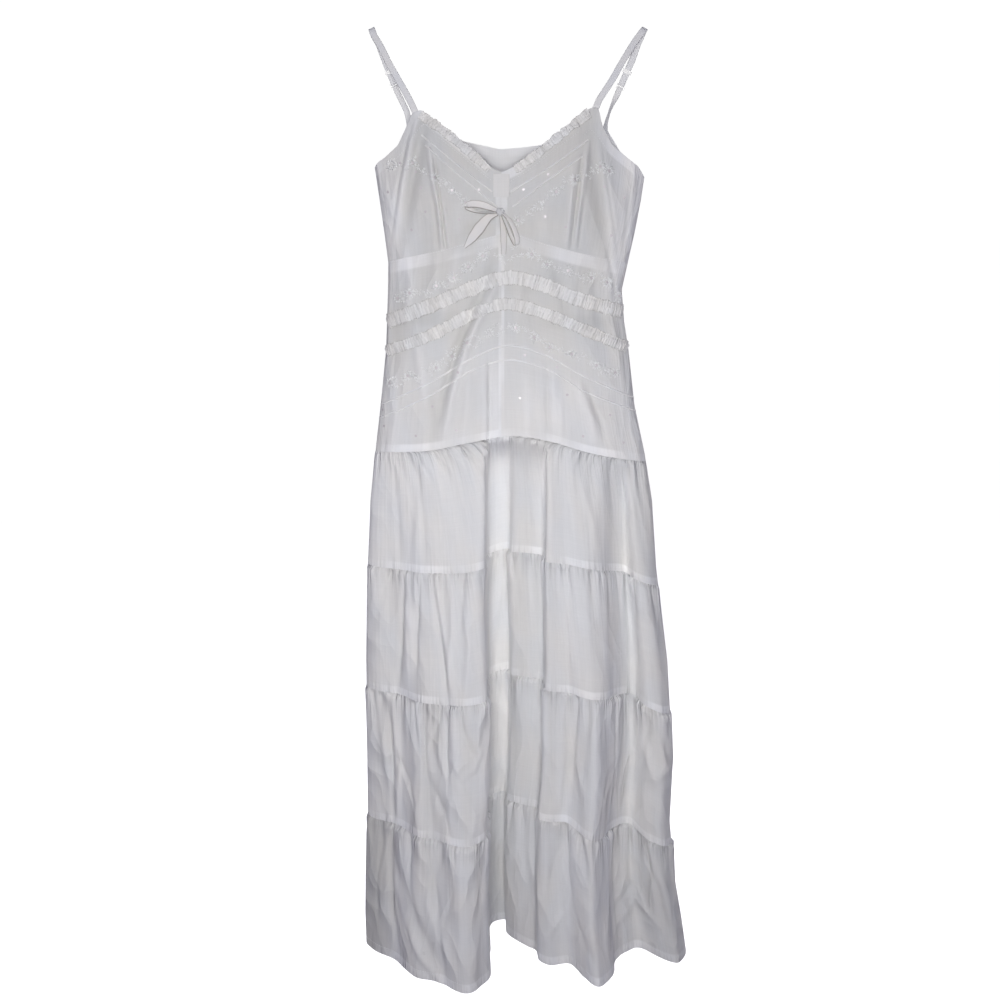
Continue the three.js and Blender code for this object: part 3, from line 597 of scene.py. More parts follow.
# Creases across the tiers of the front: a line of places x, z, then width and height
FRONT_SKIRT_CREASES = [
    (((-155, -1230), (-138, -1285), (-119, -1323), (-89, -1358)), 6, 3.2),
    (((-149, -1215), (-122, -1280), (-95, -1332), (-80, -1362)), 8, -3.0),
    (((-112, -1225), (-96, -1270), (-72, -1330)), 9, 2.4),
    (((-65, -1200), (-75, -1242), (-88, -1296)), 5, -1.6),
    (((-35, -1206), (-29, -1258), (-36, -1329)), 7, 1.6),
    (((-180, -1148), (-177, -1182), (-189, -1255), (-186, -1307)), 4, -1.8),
    (((-110, -964), (-112, -1021), (-105, -1078), (-99, -1140)), 5, -3.0),
    (((-126, -960), (-130, -1030), (-126, -1100), (-118, -1140)), 7, 2.2),
    (((-73, -1020), (-54, -1052), (-41, -1078)), 3.5, 2.0),
    (((-68, -1032), (-50, -1062), (-40, -1090)), 4, -1.8),
    (((-54, -1050), (-35, -1035), (-25, -1005)), 3, 1.7),
    (((-90, -1033), (-74, -1080), (-87, -1118)), 4, -1.8),
    (((-96, -985), (-82, -1050), (-72, -1100)), 5, 1.8),
    (((-35, -1100), (-42, -1146)), 4, 1.3),
    (((-60, -1105), (-40, -1125), (-22, -1130)), 3.5, 1.1),
    (((93, -954), (103, -1018), (110, -1086), (114, -1144)), 6, -2.0),
    (((78, -960), (84, -1030), (88, -1110)), 7, 1.5),
    (((149, -1056), (160, -1044), (173, -1036)), 3, 1.7),
    (((146, -1090), (158, -1078), (167, -1045)), 3.5, -1.8),
    (((138, -1060), (152, -1090), (158, -1130)), 4, 1.4),
    (((236, -1074), (248, -1062), (261, -1056)), 4, 1.8),
    (((238, -1000), (257, -1061), (254, -1116)), 4, -1.8),
    (((205, -1000), (222, -1040), (232, -1085)), 6, 2.0),
    (((182, -1308), (209, -1282), (243, -1308)), 4, 1.8),
    (((176, -1290), (200, -1262), (224, -1256)), 5, -1.4),
    (((69, -1314), (89, -1282), (108, -1252)), 5, 1.8),
    (((109, -1258), (127, -1310), (142, -1326)), 4, -1.8),
    (((88, -1171), (75, -1223), (69, -1275)), 5, -1.6),
    (((203, -1150), (221, -1201), (239, -1252), (250, -1306)), 6, -2.2),
    (((222, -1160), (240, -1220), (256, -1290)), 6, 1.8),
    (((-9, -1240), (4, -1212), (10, -1185)), 3.5, 1.3),
    (((100, -1180), (120, -1230), (132, -1300)), 8, 1.8),
    (((-176, -1010), (-168, -1060), (-158, -1120)), 5, 1.8),
    (((-70, -700), (-90, -640), (-100, -600)), 8, 1.2),
    (((-110, -590), (-114, -660), (-122, -740)), 6, 1.6),
    (((60, -590), (70, -660), (76, -730)), 9, 1.2),
    (((110, -610), (132, -680), (140, -730)), 6, 1.4),
    (((-122, -770), (-128, -850), (-134, -930)), 5, 1.8),
    (((-84, -775), (-76, -850), (-78, -925)), 6, -1.5),
    (((-48, -775), (-42, -860), (-50, -930)), 7, 1.3),
    (((52, -760), (62, -850), (60, -920)), 8, -1.2),
    (((95, -765), (104, -850), (110, -930)), 6, 1.4),
    (((150, -860), (170, -900), (176, -938)), 5, 1.5),
    (((-140, -800), (-120, -850), (-112, -900)), 6, 1.4),
    (((40, -1180), (52, -1240), (58, -1310)), 6, 1.2),
    (((-138, -766), (-144, -848), (-153, -944)), 4, -2.8),
    (((-128, -766), (-133, -848), (-140, -944)), 6, 2.2),
    (((-116, -771), (-121, -831), (-123, -899)), 3, -2.2),
    (((-97, -770), (-86, -845), (-75, -948)), 4, -2.8),
    (((-90, -775), (-79, -850), (-66, -946)), 6, 2.2),
    (((-68, -777), (-70, -859), (-75, -920)), 5, 2.0),
    (((-55, -784), (-44, -859), (-50, -935)), 4, 1.8),
    (((-164, -964), (-162, -1050), (-160, -1143)), 4, -3.6),
    (((-154, -962), (-152, -1050), (-150, -1140)), 6, 2.4),
    (((-112, -971), (-111, -1014), (-112, -1053)), 3, -2.6),
    (((-75, -963), (-77, -1020), (-74, -1067)), 3, -2.6),
    (((-66, -965), (-64, -1020), (-58, -1060)), 5, 2.0),
    (((-56, -973), (-44, -1004), (-27, -1034)), 3, -2.0),
    (((-155, -1033), (-135, -1071), (-129, -1109)), 3.5, -2.2),
    (((-104, -1061), (-82, -1107), (-72, -1143)), 4, -2.2),
    (((-151, -597), (-149, -655), (-145, -743)), 5, -1.5),
    (((-114, -595), (-114, -653), (-107, -741)), 5, -1.3),
    (((-162, -1165), (-164, -1225), (-162, -1290), (-149, -1350)), 5, -3.0),
    (((-133, -1189), (-137, -1254), (-145, -1321)), 6, 2.6),
    (((-95, -1179), (-97, -1219), (-91, -1283), (-82, -1348)), 5, -2.6),
    (((-60, -1180), (-58, -1240), (-50, -1330)), 8, 1.6),
]
BACK_SKIRT_CREASES = [
    (((-120, -980), (-90, -1040), (-80, -1100)), 8, 2.2),
    (((60, -1000), (90, -1050), (110, -1120)), 8, -2.0),
    (((-40, -1220), (-10, -1270), (0, -1330)), 9, 2.2),
    (((140, -1240), (160, -1290), (170, -1340)), 9, 2.0),
    (((-150, -1230), (-130, -1270), (-126, -1330)), 8, -1.8),
    (((20, -820), (44, -860), (50, -920)), 8, 1.6),
]


def spline(padded, where):
    """Centripetal curve through points, at numbers of spans from its start, with a point more at each end."""
    i = np.minimum(np.floor(where).astype(int), len(padded) - 4)
    f = (where - i)[:, None]
    p0, p1, p2, p3 = (padded[i + k] for k in range(4))
    d0, d1, d2 = (
        np.linalg.norm(b - a, axis=1, keepdims=True) ** 0.5 for a, b in ((p0, p1), (p1, p2), (p2, p3))
    )
    leaving = ((p1 - p0) / d0 - (p2 - p0) / (d0 + d1) + (p2 - p1) / d1) * d1
    arriving = ((p2 - p1) / d1 - (p3 - p1) / (d1 + d2) + (p3 - p2) / d2) * d1
    return (
        p1
        + leaving * f
        + (3 * (p2 - p1) - 2 * leaving - arriving) * f**2
        + (2 * (p1 - p2) + leaving + arriving) * f**3
    )


def plan_row(folds, other_folds, down, columns, stand, other_stand):
    """Plan of the skirt at a share of the way down: share of the width and y, evenly along the cloth."""

    def places(table, start_depth):
        top, hem, y_hem, early, inset = table.T
        start = start_depth * roundness(top)
        y = start + (y_hem - start) * down**early + inset * INSET_SCALE * np.sqrt(down) * (1 - down)
        return np.column_stack([top + (hem - top) * down, y / PLAN_WIDTH])

    ring = np.vstack([places(folds, stand), places(other_folds[1:-1], other_stand)[::-1]])
    padded = np.vstack([ring[-1:], ring, ring[:2]])
    spans = len(folds) - 1
    curve = spline(padded, np.linspace(0, spans, spans * SPAN_SAMPLES + 1))
    lengths = np.concatenate([[0], np.cumsum(np.linalg.norm(np.diff(curve, axis=0), axis=1))])
    even = np.linspace(0, lengths[-1], columns + 1)
    return np.interp(even, lengths, curve[:, 0]), np.interp(even, lengths, curve[:, 1]) * PLAN_WIDTH


def outward(points, side):
    """Horizontal direction out of the dress at each point of each row."""
    step = np.gradient(points, axis=1)
    normal = np.stack([step[..., 1], -step[..., 0], np.zeros_like(step[..., 0])], axis=-1) * side
    return normal / np.linalg.norm(normal, axis=-1, keepdims=True)


GATHERS = [  # about how far apart, in mm; widths, depths and lengths, from and to; slant
    (10, (1.8, 3.2), (0.7, 2.0), (7, 26), 0.16),
    (29, (4.0, 7.5), (1.4, 4.2), (30, 120), 0.14),
    (66, (12, 21), (2.0, 4.4), (120, 320), 0.06),
]


def gather_depth(along, below, tier_length, seed):
    """Narrow hollows under a gathered seam, uneven in place, depth, slant and length, and broad folds."""
    draw = np.random.default_rng(seed)
    total = np.zeros_like(along)
    for spacing, widths, depths, lengths, slant in GATHERS:
        centre = draw.uniform(0, spacing)
        hollow = np.zeros_like(along)
        while centre < tier_length:
            width, depth, length = draw.uniform(*widths), draw.uniform(*depths), draw.uniform(*lengths)
            middle = centre + draw.normal(0, slant) * below
            spread = width * (1 + below / (2.2 * length))
            gather = depth * np.exp(-(((along - middle) / spread) ** 2) - below / length)
            hollow = np.maximum(hollow, gather)
            centre += spacing * draw.uniform(0.62, 1.4)
        total -= hollow
    return total


TIER_CUTS = {
    (1, "front"): (690, 175), (2, "front"): (840, 195), (3, "front"): (980, 212), (4, "front"): (1080, 228),
    (1, "back"): (530, 175), (2, "back"): (610, 195), (3, "back"): (740, 212), (4, "back"): (850, 228),
}
TIER_CELLS = {"front": (400, 42), "back": (230, 30)}
TIER_RELIEF = {1: 1.1, 2: 1.35, 3: 1.6, 4: 1.8}  # fuller gathers lower down
TIER_CRUSH = {1: 0.35, 2: 0.55, 3: 0.95, 4: 1.0}
BACK_CRUSH = 0.6
HELD_DROP = 21  # how far the middle of the first tier takes to sink into its hollow
SEAM_HOLD = 3.5  # how far the stitches hold the gathers flat
PUFF, PUFF_LENGTH = 2.2, 60
SIDE_FADE = 14
# Hollow between the front's lobes: its middle and half width as shares of the dress, at the top and the hem
HOLLOW_MIDDLE, HOLLOW_HALF_WIDTH = (0.462, 0.42), (0.04, 0.028)
# The hollow looks whiter because more layers hang behind it, and painted light also lifts the shade that the
# lobes cast in it; near the hem it is greyer.
HOLLOW_WHITENESS_AND_LIGHT = ((580, 940, 1140, 1180, 1360), (0.24, 0.32, 0.34, 0.1, -0.2))  # depths, how much whiter
# Thin cloth looks denser where it turns away from the front, and the same whitening is painted light on the
# turned-away flanks that the lamp leaves in shade.
GRAZING_DENSITY_AND_LIGHT = 0.4  # thin cloth looks denser where it turns away
# Painted highlight on the ridges of the gathers, and painted shade in their hollows.
RIDGE_HIGHLIGHT_AND_SHADE = 0.03
EDGE_SHADE = {1: 0.3, 2: 0.18, 3: 0.18, 4: 0.18}  # the right edge lies furthest from the lamp


def tier_rows(number, side, columns, rows):
    """Rows of points of a tier as it hangs, without its gathers, the shares of its rows, and how far each
    place is inside the white hollow of the front."""
    _, top_heights, top_down, _ = SKIRT_SEAMS[number - 1]
    _, bottom_heights, bottom_down, _ = SKIRT_SEAMS[number]
    height = row_height if side == 1 else back_height
    folds = [(FRONT_FOLDS, FRONT_TOP_DEPTH), (BACK_FOLDS, BACK_TOP_DEPTH)][::side]
    row_shares = np.linspace(0, 1, rows + 1) ** 1.2
    grid = []
    hollow = []
    for row_share in row_shares:
        down = top_down + (bottom_down - top_down) * row_share
        share, y = plan_row(folds[0][0], folds[1][0], down, columns, folds[0][1], folds[1][1])
        start = height(top_heights, share) - HALF_GAP
        end = height(bottom_heights, share) + (0 if number == 4 else HALF_GAP)
        z = start + (end - start) * row_share
        grid.append(np.column_stack([x_at(share, z), y, z]))
        middle = np.interp(down, (0, 1), HOLLOW_MIDDLE)
        half_width = np.interp(down, (0, 1), HOLLOW_HALF_WIDTH)
        hollow.append(np.exp(-(((share - middle) / half_width) ** 4)) if side == 1 else 0 * share)
    points = np.array(grid)
    if number == 1 and side == 1:
        held = np.exp(-(((points[0, :, 2] - points[..., 2]) / HELD_DROP) ** 1.5))
        points[..., 1] += (points[0, :, 1] - points[..., 1]) * held
    return points, row_shares, np.array(hollow)


def tier_whiteness_and_light(number, side, points, hollow, along, length, below):
    """White where more layers hang behind, most of all in the hollow, with painted light in the hollow and
    under the first seam, and painted shade towards the outer edges.
    """
    white = SKIRT_WHITENESS + np.interp(-points[..., 2], *HOLLOW_WHITENESS_AND_LIGHT) * hollow
    if number == 1:
        # Painted light in the hollow just under the midriff's edge, and whiter towards the left end of the
        # first tier.
        white = white + 0.6 * hollow * np.exp(-below / 30) + 0.22 * np.exp(-along / 60)
    if side == 1:
        white = white - EDGE_SHADE[number] * np.exp(-(length - along) / 70)
    if number == 4 and side == 1:
        # Painted shade at both ends of the last front tier, deepest at the left.
        left_edge, right_edge = ((along - 10) / 52) ** 2, ((length - along) / 120) ** 2
        white = white - 0.9 * np.exp(-left_edge) - 0.25 * np.exp(-right_edge)
    return white


def tier_grid(number, side, columns, rows, seam_lift):
    """Points of one tier, outside, in mm, with its marks, the shares of its rows and the lift of its last
    row. It starts on the lift of the seam above."""
    points, row_shares, hollow = tier_rows(number, side, columns, rows)
    steps = np.linalg.norm(np.diff(points[..., :2], axis=1), axis=-1)
    along = np.concatenate([np.zeros((rows + 1, 1)), np.cumsum(steps, axis=1)], axis=1)
    length = along[:, -1:]
    below = points[0, :, 2] - points[..., 2]
    above = points[..., 2] - points[-1, :, 2]
    near_side = np.clip(np.minimum(along, length - along) / SIDE_FADE, 0, 1)
    cloth_along = along / length * along[-1, -1]
    gathers = TIER_RELIEF[number] * gather_depth(cloth_along, below, along[-1, -1], 10 * number + side)
    lift = gathers - gathers.mean(axis=1, keepdims=True)
    creases = FRONT_SKIRT_CREASES if side == 1 else BACK_SKIRT_CREASES
    facing = np.abs(outward(points, side)[..., 1])
    lift = lift + crease_height(creases, points[..., 0], points[..., 2]) * np.clip(1.6 * facing - 0.2, 0, 1)
    white = tier_whiteness_and_light(number, side, points, hollow, along, length, below)
    white = white + GRAZING_DENSITY_AND_LIGHT * (1 - facing)
    if seam_lift is None:
        x, z = points[0, :, 0], points[0, :, 2]
        above_creases = BODICE_CREASES if side == 1 else BACK_CREASES
        seam_lift = roundness(share_at(x, z)) * crease_height(above_creases, x, z)
    hold = np.exp(-((below / SEAM_HOLD) ** 2))
    lift = (lift + PUFF * np.exp(-below / PUFF_LENGTH)) * (1 - hold) + seam_lift * np.exp(-below / 30)
    white = white + RIDGE_HIGHLIGHT_AND_SHADE * (lift - PUFF * np.exp(-below / PUFF_LENGTH))
    points = points + outward(points, side) * (lift * near_side)[..., None]
    points[:, (0, -1), 1] -= side * HALF_GAP
    crushed = np.full(lift.shape, BACK_CRUSH)
    if side == 1:
        crushed = np.interp(points[..., 0], (-60, 40, 150, 210), (1, 0.55, 0.6, 1))
    marks = {
        "layers": above / SKIRT_SEAMS[number][3],
        "white": white,
        "pleats": 0.12 + 0.88 * np.exp(-below / 18) + 0.5 * np.exp(-((above / 9) ** 2)),
        "creased": TIER_CRUSH[number] * crushed,
    }
    return points, marks, row_shares, lift[-1]


tier_points = {}
seam_lifts = {}
for number in (1, 2, 3, 4):
    for side, face in ((1, "front"), (-1, "back")):
        columns, rows = TIER_CELLS[face]
        points, marks, row_shares, seam_lifts[side] = tier_grid(
            number, side, columns, rows, seam_lifts.get(side)
        )
        tier_points[number, face] = points
        name = f"tier_{number}_{face}"
        cut = TIER_CUTS[number, face]
        mesh = grid_mesh(f"{name}_voile", points, cut, row_shares, marks, inside_out=side == -1)
        tier = piece_of(mesh, voile, VOILE_THICKNESS)
        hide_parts(name)
        above = [f"tier_{number - 1}_{face}_voile"]
        if number == 1 and side == 1:
            above = ["midriff_front_left_voile", "midriff_front_right_voile"]
        elif number == 1:
            above = ["midriff_back_voile"]

# Ruches: two raw-edged strips of voile across the midriff, gathered tight along both edges, so that the
# cloth puffs between two rows of stitching and frays outside them.
RUCHES = [  # name, heights of its middle, width, seed of its gathers
    ("ruche_upper", (-401, -376, -355, -339, -348, -368, -387), 19, 3),
    ("ruche_lower", (-443, -417, -391, -375, -387, -408, -438), 16, 22),
]
RUCHE_LENGTH = 480
RUCHE_COLUMNS = 720
STRIP_ROWS = 12
RUCHE_LIFT = 0.5
STRIP_THICKNESS = 0.4
PUFF_HEIGHT, FRAY_HEIGHT = 1.7, 1.5
FRAYED_FROM = 0.68  # share of the half width where the stitching is


def front_normals(share, z):
    """Direction out of the front at each place on it."""
    step = 0.002
    high = np.clip(share + step, 0, 1)
    low = np.clip(share - step, 0, 1)
    across = front_points(high, z) - front_points(low, z)
    up = front_points(share, z + 1) - front_points(share, z - 1)
    normal = np.cross(across, up)
    return normal / np.linalg.norm(normal, axis=-1, keepdims=True)


def on_front(x, z, lift):
    """Points at a height above the front, over places x, z."""
    share = np.clip(share_at(x, z), 0.001, 0.999)
    return front_points(share, z) + front_normals(share, z) * np.asarray(lift)[..., None]


def puckers(along, seed):
    """Tight uneven gathers along a strip, from 0 in their hollows to 1."""
    draw = np.random.default_rng(seed)
    middles = np.cumsum(draw.uniform(1.3, 5.0, int(along.max() / 2.1)))
    depths = draw.uniform(0.15, 1.0, len(middles))
    widths = draw.uniform(0.5, 1.5, len(middles))
    hollow = np.zeros_like(along)
    for middle, depth, width in zip(middles, depths, widths):
        hollow = np.maximum(hollow, depth * np.exp(-(((along - middle) / width) ** 2)))
    return 1 - hollow


def gathered_strip(name, line, width, rows, seed, lift, material, cut):
    """Strip that lies on the front along a line of places, stitched along both edges."""
    line = np.asarray(line, dtype=float)
    step = np.gradient(line, axis=0)
    step /= np.linalg.norm(step, axis=1, keepdims=True)
    along = np.concatenate([[0], np.cumsum(np.linalg.norm(np.diff(line, axis=0), axis=1))])
    places = np.linspace(1, -1, rows + 1)[:, None]
    draw = np.random.default_rng(seed + 1)
    sway = np.interp(along, along[::9], draw.uniform(-1, 1, len(along[::9])))
    bend = np.interp(along, along[::7], draw.uniform(-1, 1, len(along[::7])))
    fray = np.where(places > 0, draw.uniform(-1, 1, len(along)), draw.uniform(-1, 1, len(along)))
    pucker = np.where(places > 0.1, puckers(along, seed), puckers(along + 0.5 * bend, seed + 7))
    raw_edge = np.clip((np.abs(places) - FRAYED_FROM) / (1 - FRAYED_FROM), 0, 1)
    frayed = raw_edge * np.sign(places) * (1.3 * sway + 0.9 * (pucker - 0.5) + 0.5 * fray)
    reach = places * width / 2 + frayed
    x = line[:, 0] - step[:, 1] * reach
    z = line[:, 1] + step[:, 0] * reach
    puff = np.cos(np.clip(np.abs(places) / 0.72, 0, 1) * np.pi / 2) ** 0.5
    height = lift + PUFF_HEIGHT * puff * (0.2 + 0.8 * pucker) * (1 + 0.3 * bend)
    height = height + FRAY_HEIGHT * raw_edge * (pucker - 0.3 * sway)
    points = on_front(x, z, height)
    # Painted shade in the hollows of the puckers, and a painted highlight where the strip bulges out; the
    # frayed raw edges are darker.
    white = 0.72 - 0.33 * (1 - pucker) - 0.65 * (raw_edge > 0.9) * (fray > 0.1) + 0.14 * bend
    mesh = grid_mesh(name, points, cut, np.linspace(0, 1, rows + 1), {"white": white})
    return piece_of(mesh, material, STRIP_THICKNESS, 0)


ruche_voile = woven("ruched_voile", (0.45, 0.44, 0.42, 1), (0.95, 0.945, 0.925, 1), 0, 0.05)
for name, heights, width, seed in RUCHES:
    turn = np.linspace(0.05, 0.95, RUCHE_COLUMNS + 1)
    share = (1 - np.cos(np.pi * turn)) / 2
    z = row_height(heights, share)
    line = np.column_stack([x_at(share, z), z])
    cut = (RUCHE_LENGTH, width)
    ruche = gathered_strip(f"{name}_strip", line, width, STRIP_ROWS, seed, RUCHE_LIFT, ruche_voile, cut)
    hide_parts(name)

# Neck ruffles: a narrow raw-edged strip of the same voile, gathered and stitched along the neck edge of
# each cup.
NECK_LINES = {
    "left": [(-109, -119), (-82, -138), (-52, -162), (-29, -181), (-15, -194)],
    "right": [(20, -194), (35, -184), (55, -170), (82, -148), (109, -127), (122, -117)],
}
NECK_SEEDS = {"left": 41, "right": 52}
NECK_COLUMNS = 260
NECK_LENGTH, NECK_WIDTH = 160, 11
NECK_LIFT = 0.6


def unit(v):
    """Directions of length 1."""
    return v / np.linalg.norm(v, axis=-1, keepdims=True)


def along_line(places, count):
    """Smooth curve through places, cut into equal lengths."""
    places = np.array(places, dtype=float)
    padded = np.vstack([2 * places[0] - places[1], places, 2 * places[-1] - places[-2]])
    curve = spline(padded, np.linspace(0, len(places) - 1, 40 * len(places)))
    lengths = np.concatenate([[0], np.cumsum(np.linalg.norm(np.diff(curve, axis=0), axis=1))])
    even = np.linspace(0, lengths[-1], count + 1)
    return np.column_stack([np.interp(even, lengths, curve[:, k]) for k in range(places.shape[1])])


for side, places in NECK_LINES.items():
    line = along_line(places, NECK_COLUMNS)
    cut = (NECK_LENGTH, NECK_WIDTH)
    seed = NECK_SEEDS[side]
    ruffle = gathered_strip(
        f"neck_ruffle_{side}_strip", line, NECK_WIDTH, STRIP_ROWS, seed, NECK_LIFT, ruche_voile, cut
    )
    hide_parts(f"neck_ruffle_{side}")

# Pintucks: two narrow pleats stitched across each midriff and two on each cup, along the neck.
# Each stands up as a fine rib of folded voile.
MIDRIFF_TUCKS = [(-519, -484, -452, -433, -446, -476, -509), (-538, -503, -469, -453, -465, -497, -528)]
CUP_TUCKS = [
    [(-108, -146), (-62, -184), (-11, -223)],
    [(-102, -160), (-55, -202), (-23, -228), (-4, -243)],
    [(14, -223), (68, -190), (121, -153)],
    [(17, -243), (66, -207), (113, -175)],
]
TUCK_WIDTH = 2.4
TUCK_HEIGHT = 1.0
TUCK_LENGTH = 400
TUCK_ROWS = 7
CUP_TUCK_WHITENESS, MIDRIFF_TUCK_WHITENESS = 0.62, 0.8
ONE_LAYER = 2.0  # a mark for layers that keeps the fold gain off
tuck_lines = []
for heights in MIDRIFF_TUCKS:
    share = (1 - np.cos(np.pi * np.linspace(0.03, 0.97, 300))) / 2
    tuck_z = row_height(heights, share)
    tuck_lines.append(np.column_stack([x_at(share, tuck_z), tuck_z]))
tuck_lines += [along_line(places, 120) for places in CUP_TUCKS]
for number, line in enumerate(tuck_lines, 1):
    step = unit(np.gradient(line, axis=0))
    places = np.linspace(1, -1, TUCK_ROWS)[:, None]
    lean = 0.5 * TUCK_WIDTH * places - 0.35 * (1 - places**2)
    height = 0.15 + TUCK_HEIGHT * np.clip(1 - places**2, 0, 1) ** 0.7
    points = on_front(
        line[:, 0] - step[:, 1] * lean, line[:, 1] + step[:, 0] * lean, height + 0 * line[:, 0]
    )
    white = np.where(line[:, 1] < -400, MIDRIFF_TUCK_WHITENESS, CUP_TUCK_WHITENESS)
    marks = {"layers": np.full(points.shape[:2], ONE_LAYER), "white": np.tile(white, (TUCK_ROWS, 1))}
    row_shares = np.linspace(0, 1, TUCK_ROWS)
    tuck_mesh = grid_mesh(f"pintuck_{number}", points, (TUCK_LENGTH, TUCK_WIDTH), row_shares, marks)
    tuck = piece_of(tuck_mesh, voile)

# Band between the cups: a short folded strip of voile, stitched flat over the top of the middle seam,
# with its side edges rolled under.
BAND_TOP, BAND_BOTTOM, BAND_WIDTH = -199, -230, 22
BAND_CELLS = 16
BAND_WHITENESS = 0.42
band_x = np.linspace(-BAND_WIDTH / 2, BAND_WIDTH / 2, BAND_CELLS + 1) + CENTRE_X
band_z = np.linspace(BAND_TOP, BAND_BOTTOM, BAND_CELLS + 1)
grid_x, grid_z = np.meshgrid(band_x, band_z)
edge_roll = np.cos(np.pi / 2 * np.clip(np.abs(grid_x - CENTRE_X) / (BAND_WIDTH / 2), 0, 1)) ** 0.3
band_points = on_front(grid_x, grid_z, 0.5 + 0.7 * edge_roll)
band_cut = (BAND_WIDTH, BAND_TOP - BAND_BOTTOM)
band_mesh = grid_mesh(
    "centre_band_strip",
    band_points,
    band_cut,
    np.linspace(0, 1, BAND_CELLS + 1),
    {"layers": np.full(grid_x.shape, ONE_LAYER), "white": np.full(grid_x.shape, BAND_WHITENESS)},
)
band = piece_of(band_mesh, voile, STRIP_THICKNESS, 0)
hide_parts("centre_band")

# Straps: a folded tape of the same cotton over each shoulder. Its end goes round a ring and back through
# a slider, and a short tape from the ring is sewn to the back.
STRAP_WIDTH, STRAP_LENGTH, BACK_STRAP_LENGTH = 9, 330, 95
STRAP_THICKNESS, ROUNDED_EDGE = 1.1, 0.35
TAPE_ROWS = 9
BEND_RADIUS = 1.7
RING_BAR = 1
RING_HOLE = 4.6
SHORT_PLY = 7
STRAP_CROWN, BACK_STRAP_CROWN = 0.15, 0.1
STRAP_WHITENESS = 0.95
# Past this share of the half width, painted shade darkens a tape's edges.
SHADED_EDGE_FROM = 0.9  # share of the half width past which a tape's edge looks thin and grey
# Places of each strap's front leg, top, back leg, folded end and short tape; across and turns are the
# directions of its width
STRAPS = {
    "left": {
        "front": [
            (-110.4, -34.3, -129), (-115.6, -34.7, -116.5), (-124.1, -30, -98.8), (-139.5, -22, -71.2),
            (-151.2, -17.5, -51), (-165, -11.8, -24), (-174.6, -7.4, -8),
        ],
        "top": [
            (-176.3, -5.6, -2.6), (-177.3, -2.6, 0.1), (-177.6, 0, 0.6),
            (-177.4, 2.6, 0.1), (-176.4, 5.6, -2.6),
        ],
        "back": [(-174.8, 7, -8), (-169, 7.6, -18), (-160.9, 10, -40)],
        "fold": (-149, 15.4, -69.5),
        "across": (0.9, 0, 0.42),
        "down": [(-138.5, 19.5, -93), (-131.8, 21.9, -107.5), (-129.2, 23.4, -119), (-127.3, 23.2, -133)],
        "turns": [(0.9, 0, 0.42), (0.9, 0, 0.42), (0.95, 0.1, 0.3), (1, 0.1, 0.15), (1, 0.2, 0.1)],
    },
    "right": {
        "front": [
            (126.8, -34, -120), (131.8, -33.8, -108.6), (136.1, -31, -98.9), (153.8, -23.5, -71.5),
            (169.8, -16.5, -43.9), (187.2, -9.5, -16.3), (195.8, -7.2, -5),
        ],
        "top": [
            (198.3, -5.6, -2), (199.8, -2.6, 0.2), (200.2, 0, 0.6),
            (199.8, 2.6, 0.2), (198.4, 5.6, -2.4),
        ],
        "back": [(196.2, 7, -8), (191, 7.8, -20), (185, 9.6, -38)],
        "fold": (170.5, 15.2, -71.5),
        "across": (-0.88, 0, 0.44),
        "down": [(157.2, 20.8, -101), (152.4, 22.8, -115), (149.6, 23.2, -126), (148.6, 22.8, -137)],
        "turns": [(-0.88, 0, 0.44), (-0.5, 0.8, 0.3), (-0.3, 1, 0.2), (-0.5, 0.9, 0.1), (-1, 0.15, 0)],
    },
}
strap_cotton = woven("strap_cotton", (0.62, 0.62, 0.62, 1), (0.86, 0.862, 0.86, 1), 0.2, 0.02)


def strap_end(spec):
    """Directions along the folded end and out behind it, and the places of the ring's two bars."""
    end = np.array(spec["fold"])
    along = unit(end - np.array(spec["back"][-1]))
    across = np.array(spec["across"])
    wide = unit(across - across.dot(along) * along)
    behind = np.cross(along, wide)
    if behind[1] < 0:
        behind = -behind
    upper_bar = end + behind * BEND_RADIUS
    return along, behind, upper_bar, upper_bar + along * (RING_HOLE + RING_BAR)


def half_turn(bar, start, past):
    """Half turn round a bar, from its side start and past its side past."""
    turn = np.linspace(0, np.pi, 9)[:, None]
    return bar + BEND_RADIUS * (np.cos(turn) * start + np.sin(turn) * past)


def tape(name, path, across, width, crown, cut, material, white=STRAP_WHITENESS):
    """Folded tape along a path, with its width along a direction given at each point."""
    path = np.asarray(path, dtype=float)
    width = np.broadcast_to(width, len(path))
    along = unit(np.gradient(path, axis=0))
    across = np.asarray(across, dtype=float)
    across = unit(across - np.sum(across * along, axis=1, keepdims=True) * along)
    face = np.cross(along, across)
    places = np.linspace(1, -1, TAPE_ROWS)
    sideways = across[None] * (np.outer(places, width) / 2)[..., None]
    crowned = face[None] * (crown * (1 - places**2))[:, None, None]
    points = path[None] + sideways + crowned
    # Painted shade along both edges of the tape.
    edge = np.broadcast_to((np.abs(places) > SHADED_EDGE_FROM)[:, None], points.shape[:2])
    marks = {"layers": 1.0 + edge, "white": white * (1.0 - edge)}
    mesh = grid_mesh(name, points, cut, np.linspace(0, 1, TAPE_ROWS), marks)
    piece = piece_of(mesh, material, STRAP_THICKNESS, 0)
    rounding = piece.modifiers.new("rounded edges", "BEVEL")
    rounding.width = ROUNDED_EDGE * MM
    rounding.segments = 2
    return piece


def widths_along(directions, count):
    """Directions of the width at evenly spaced places, turned steadily from each given one to the next."""
    directions = np.array(directions, dtype=float)
    where = np.linspace(0, len(directions) - 1, count)
    return np.column_stack([np.interp(where, np.arange(len(directions)), axis) for axis in directions.T])


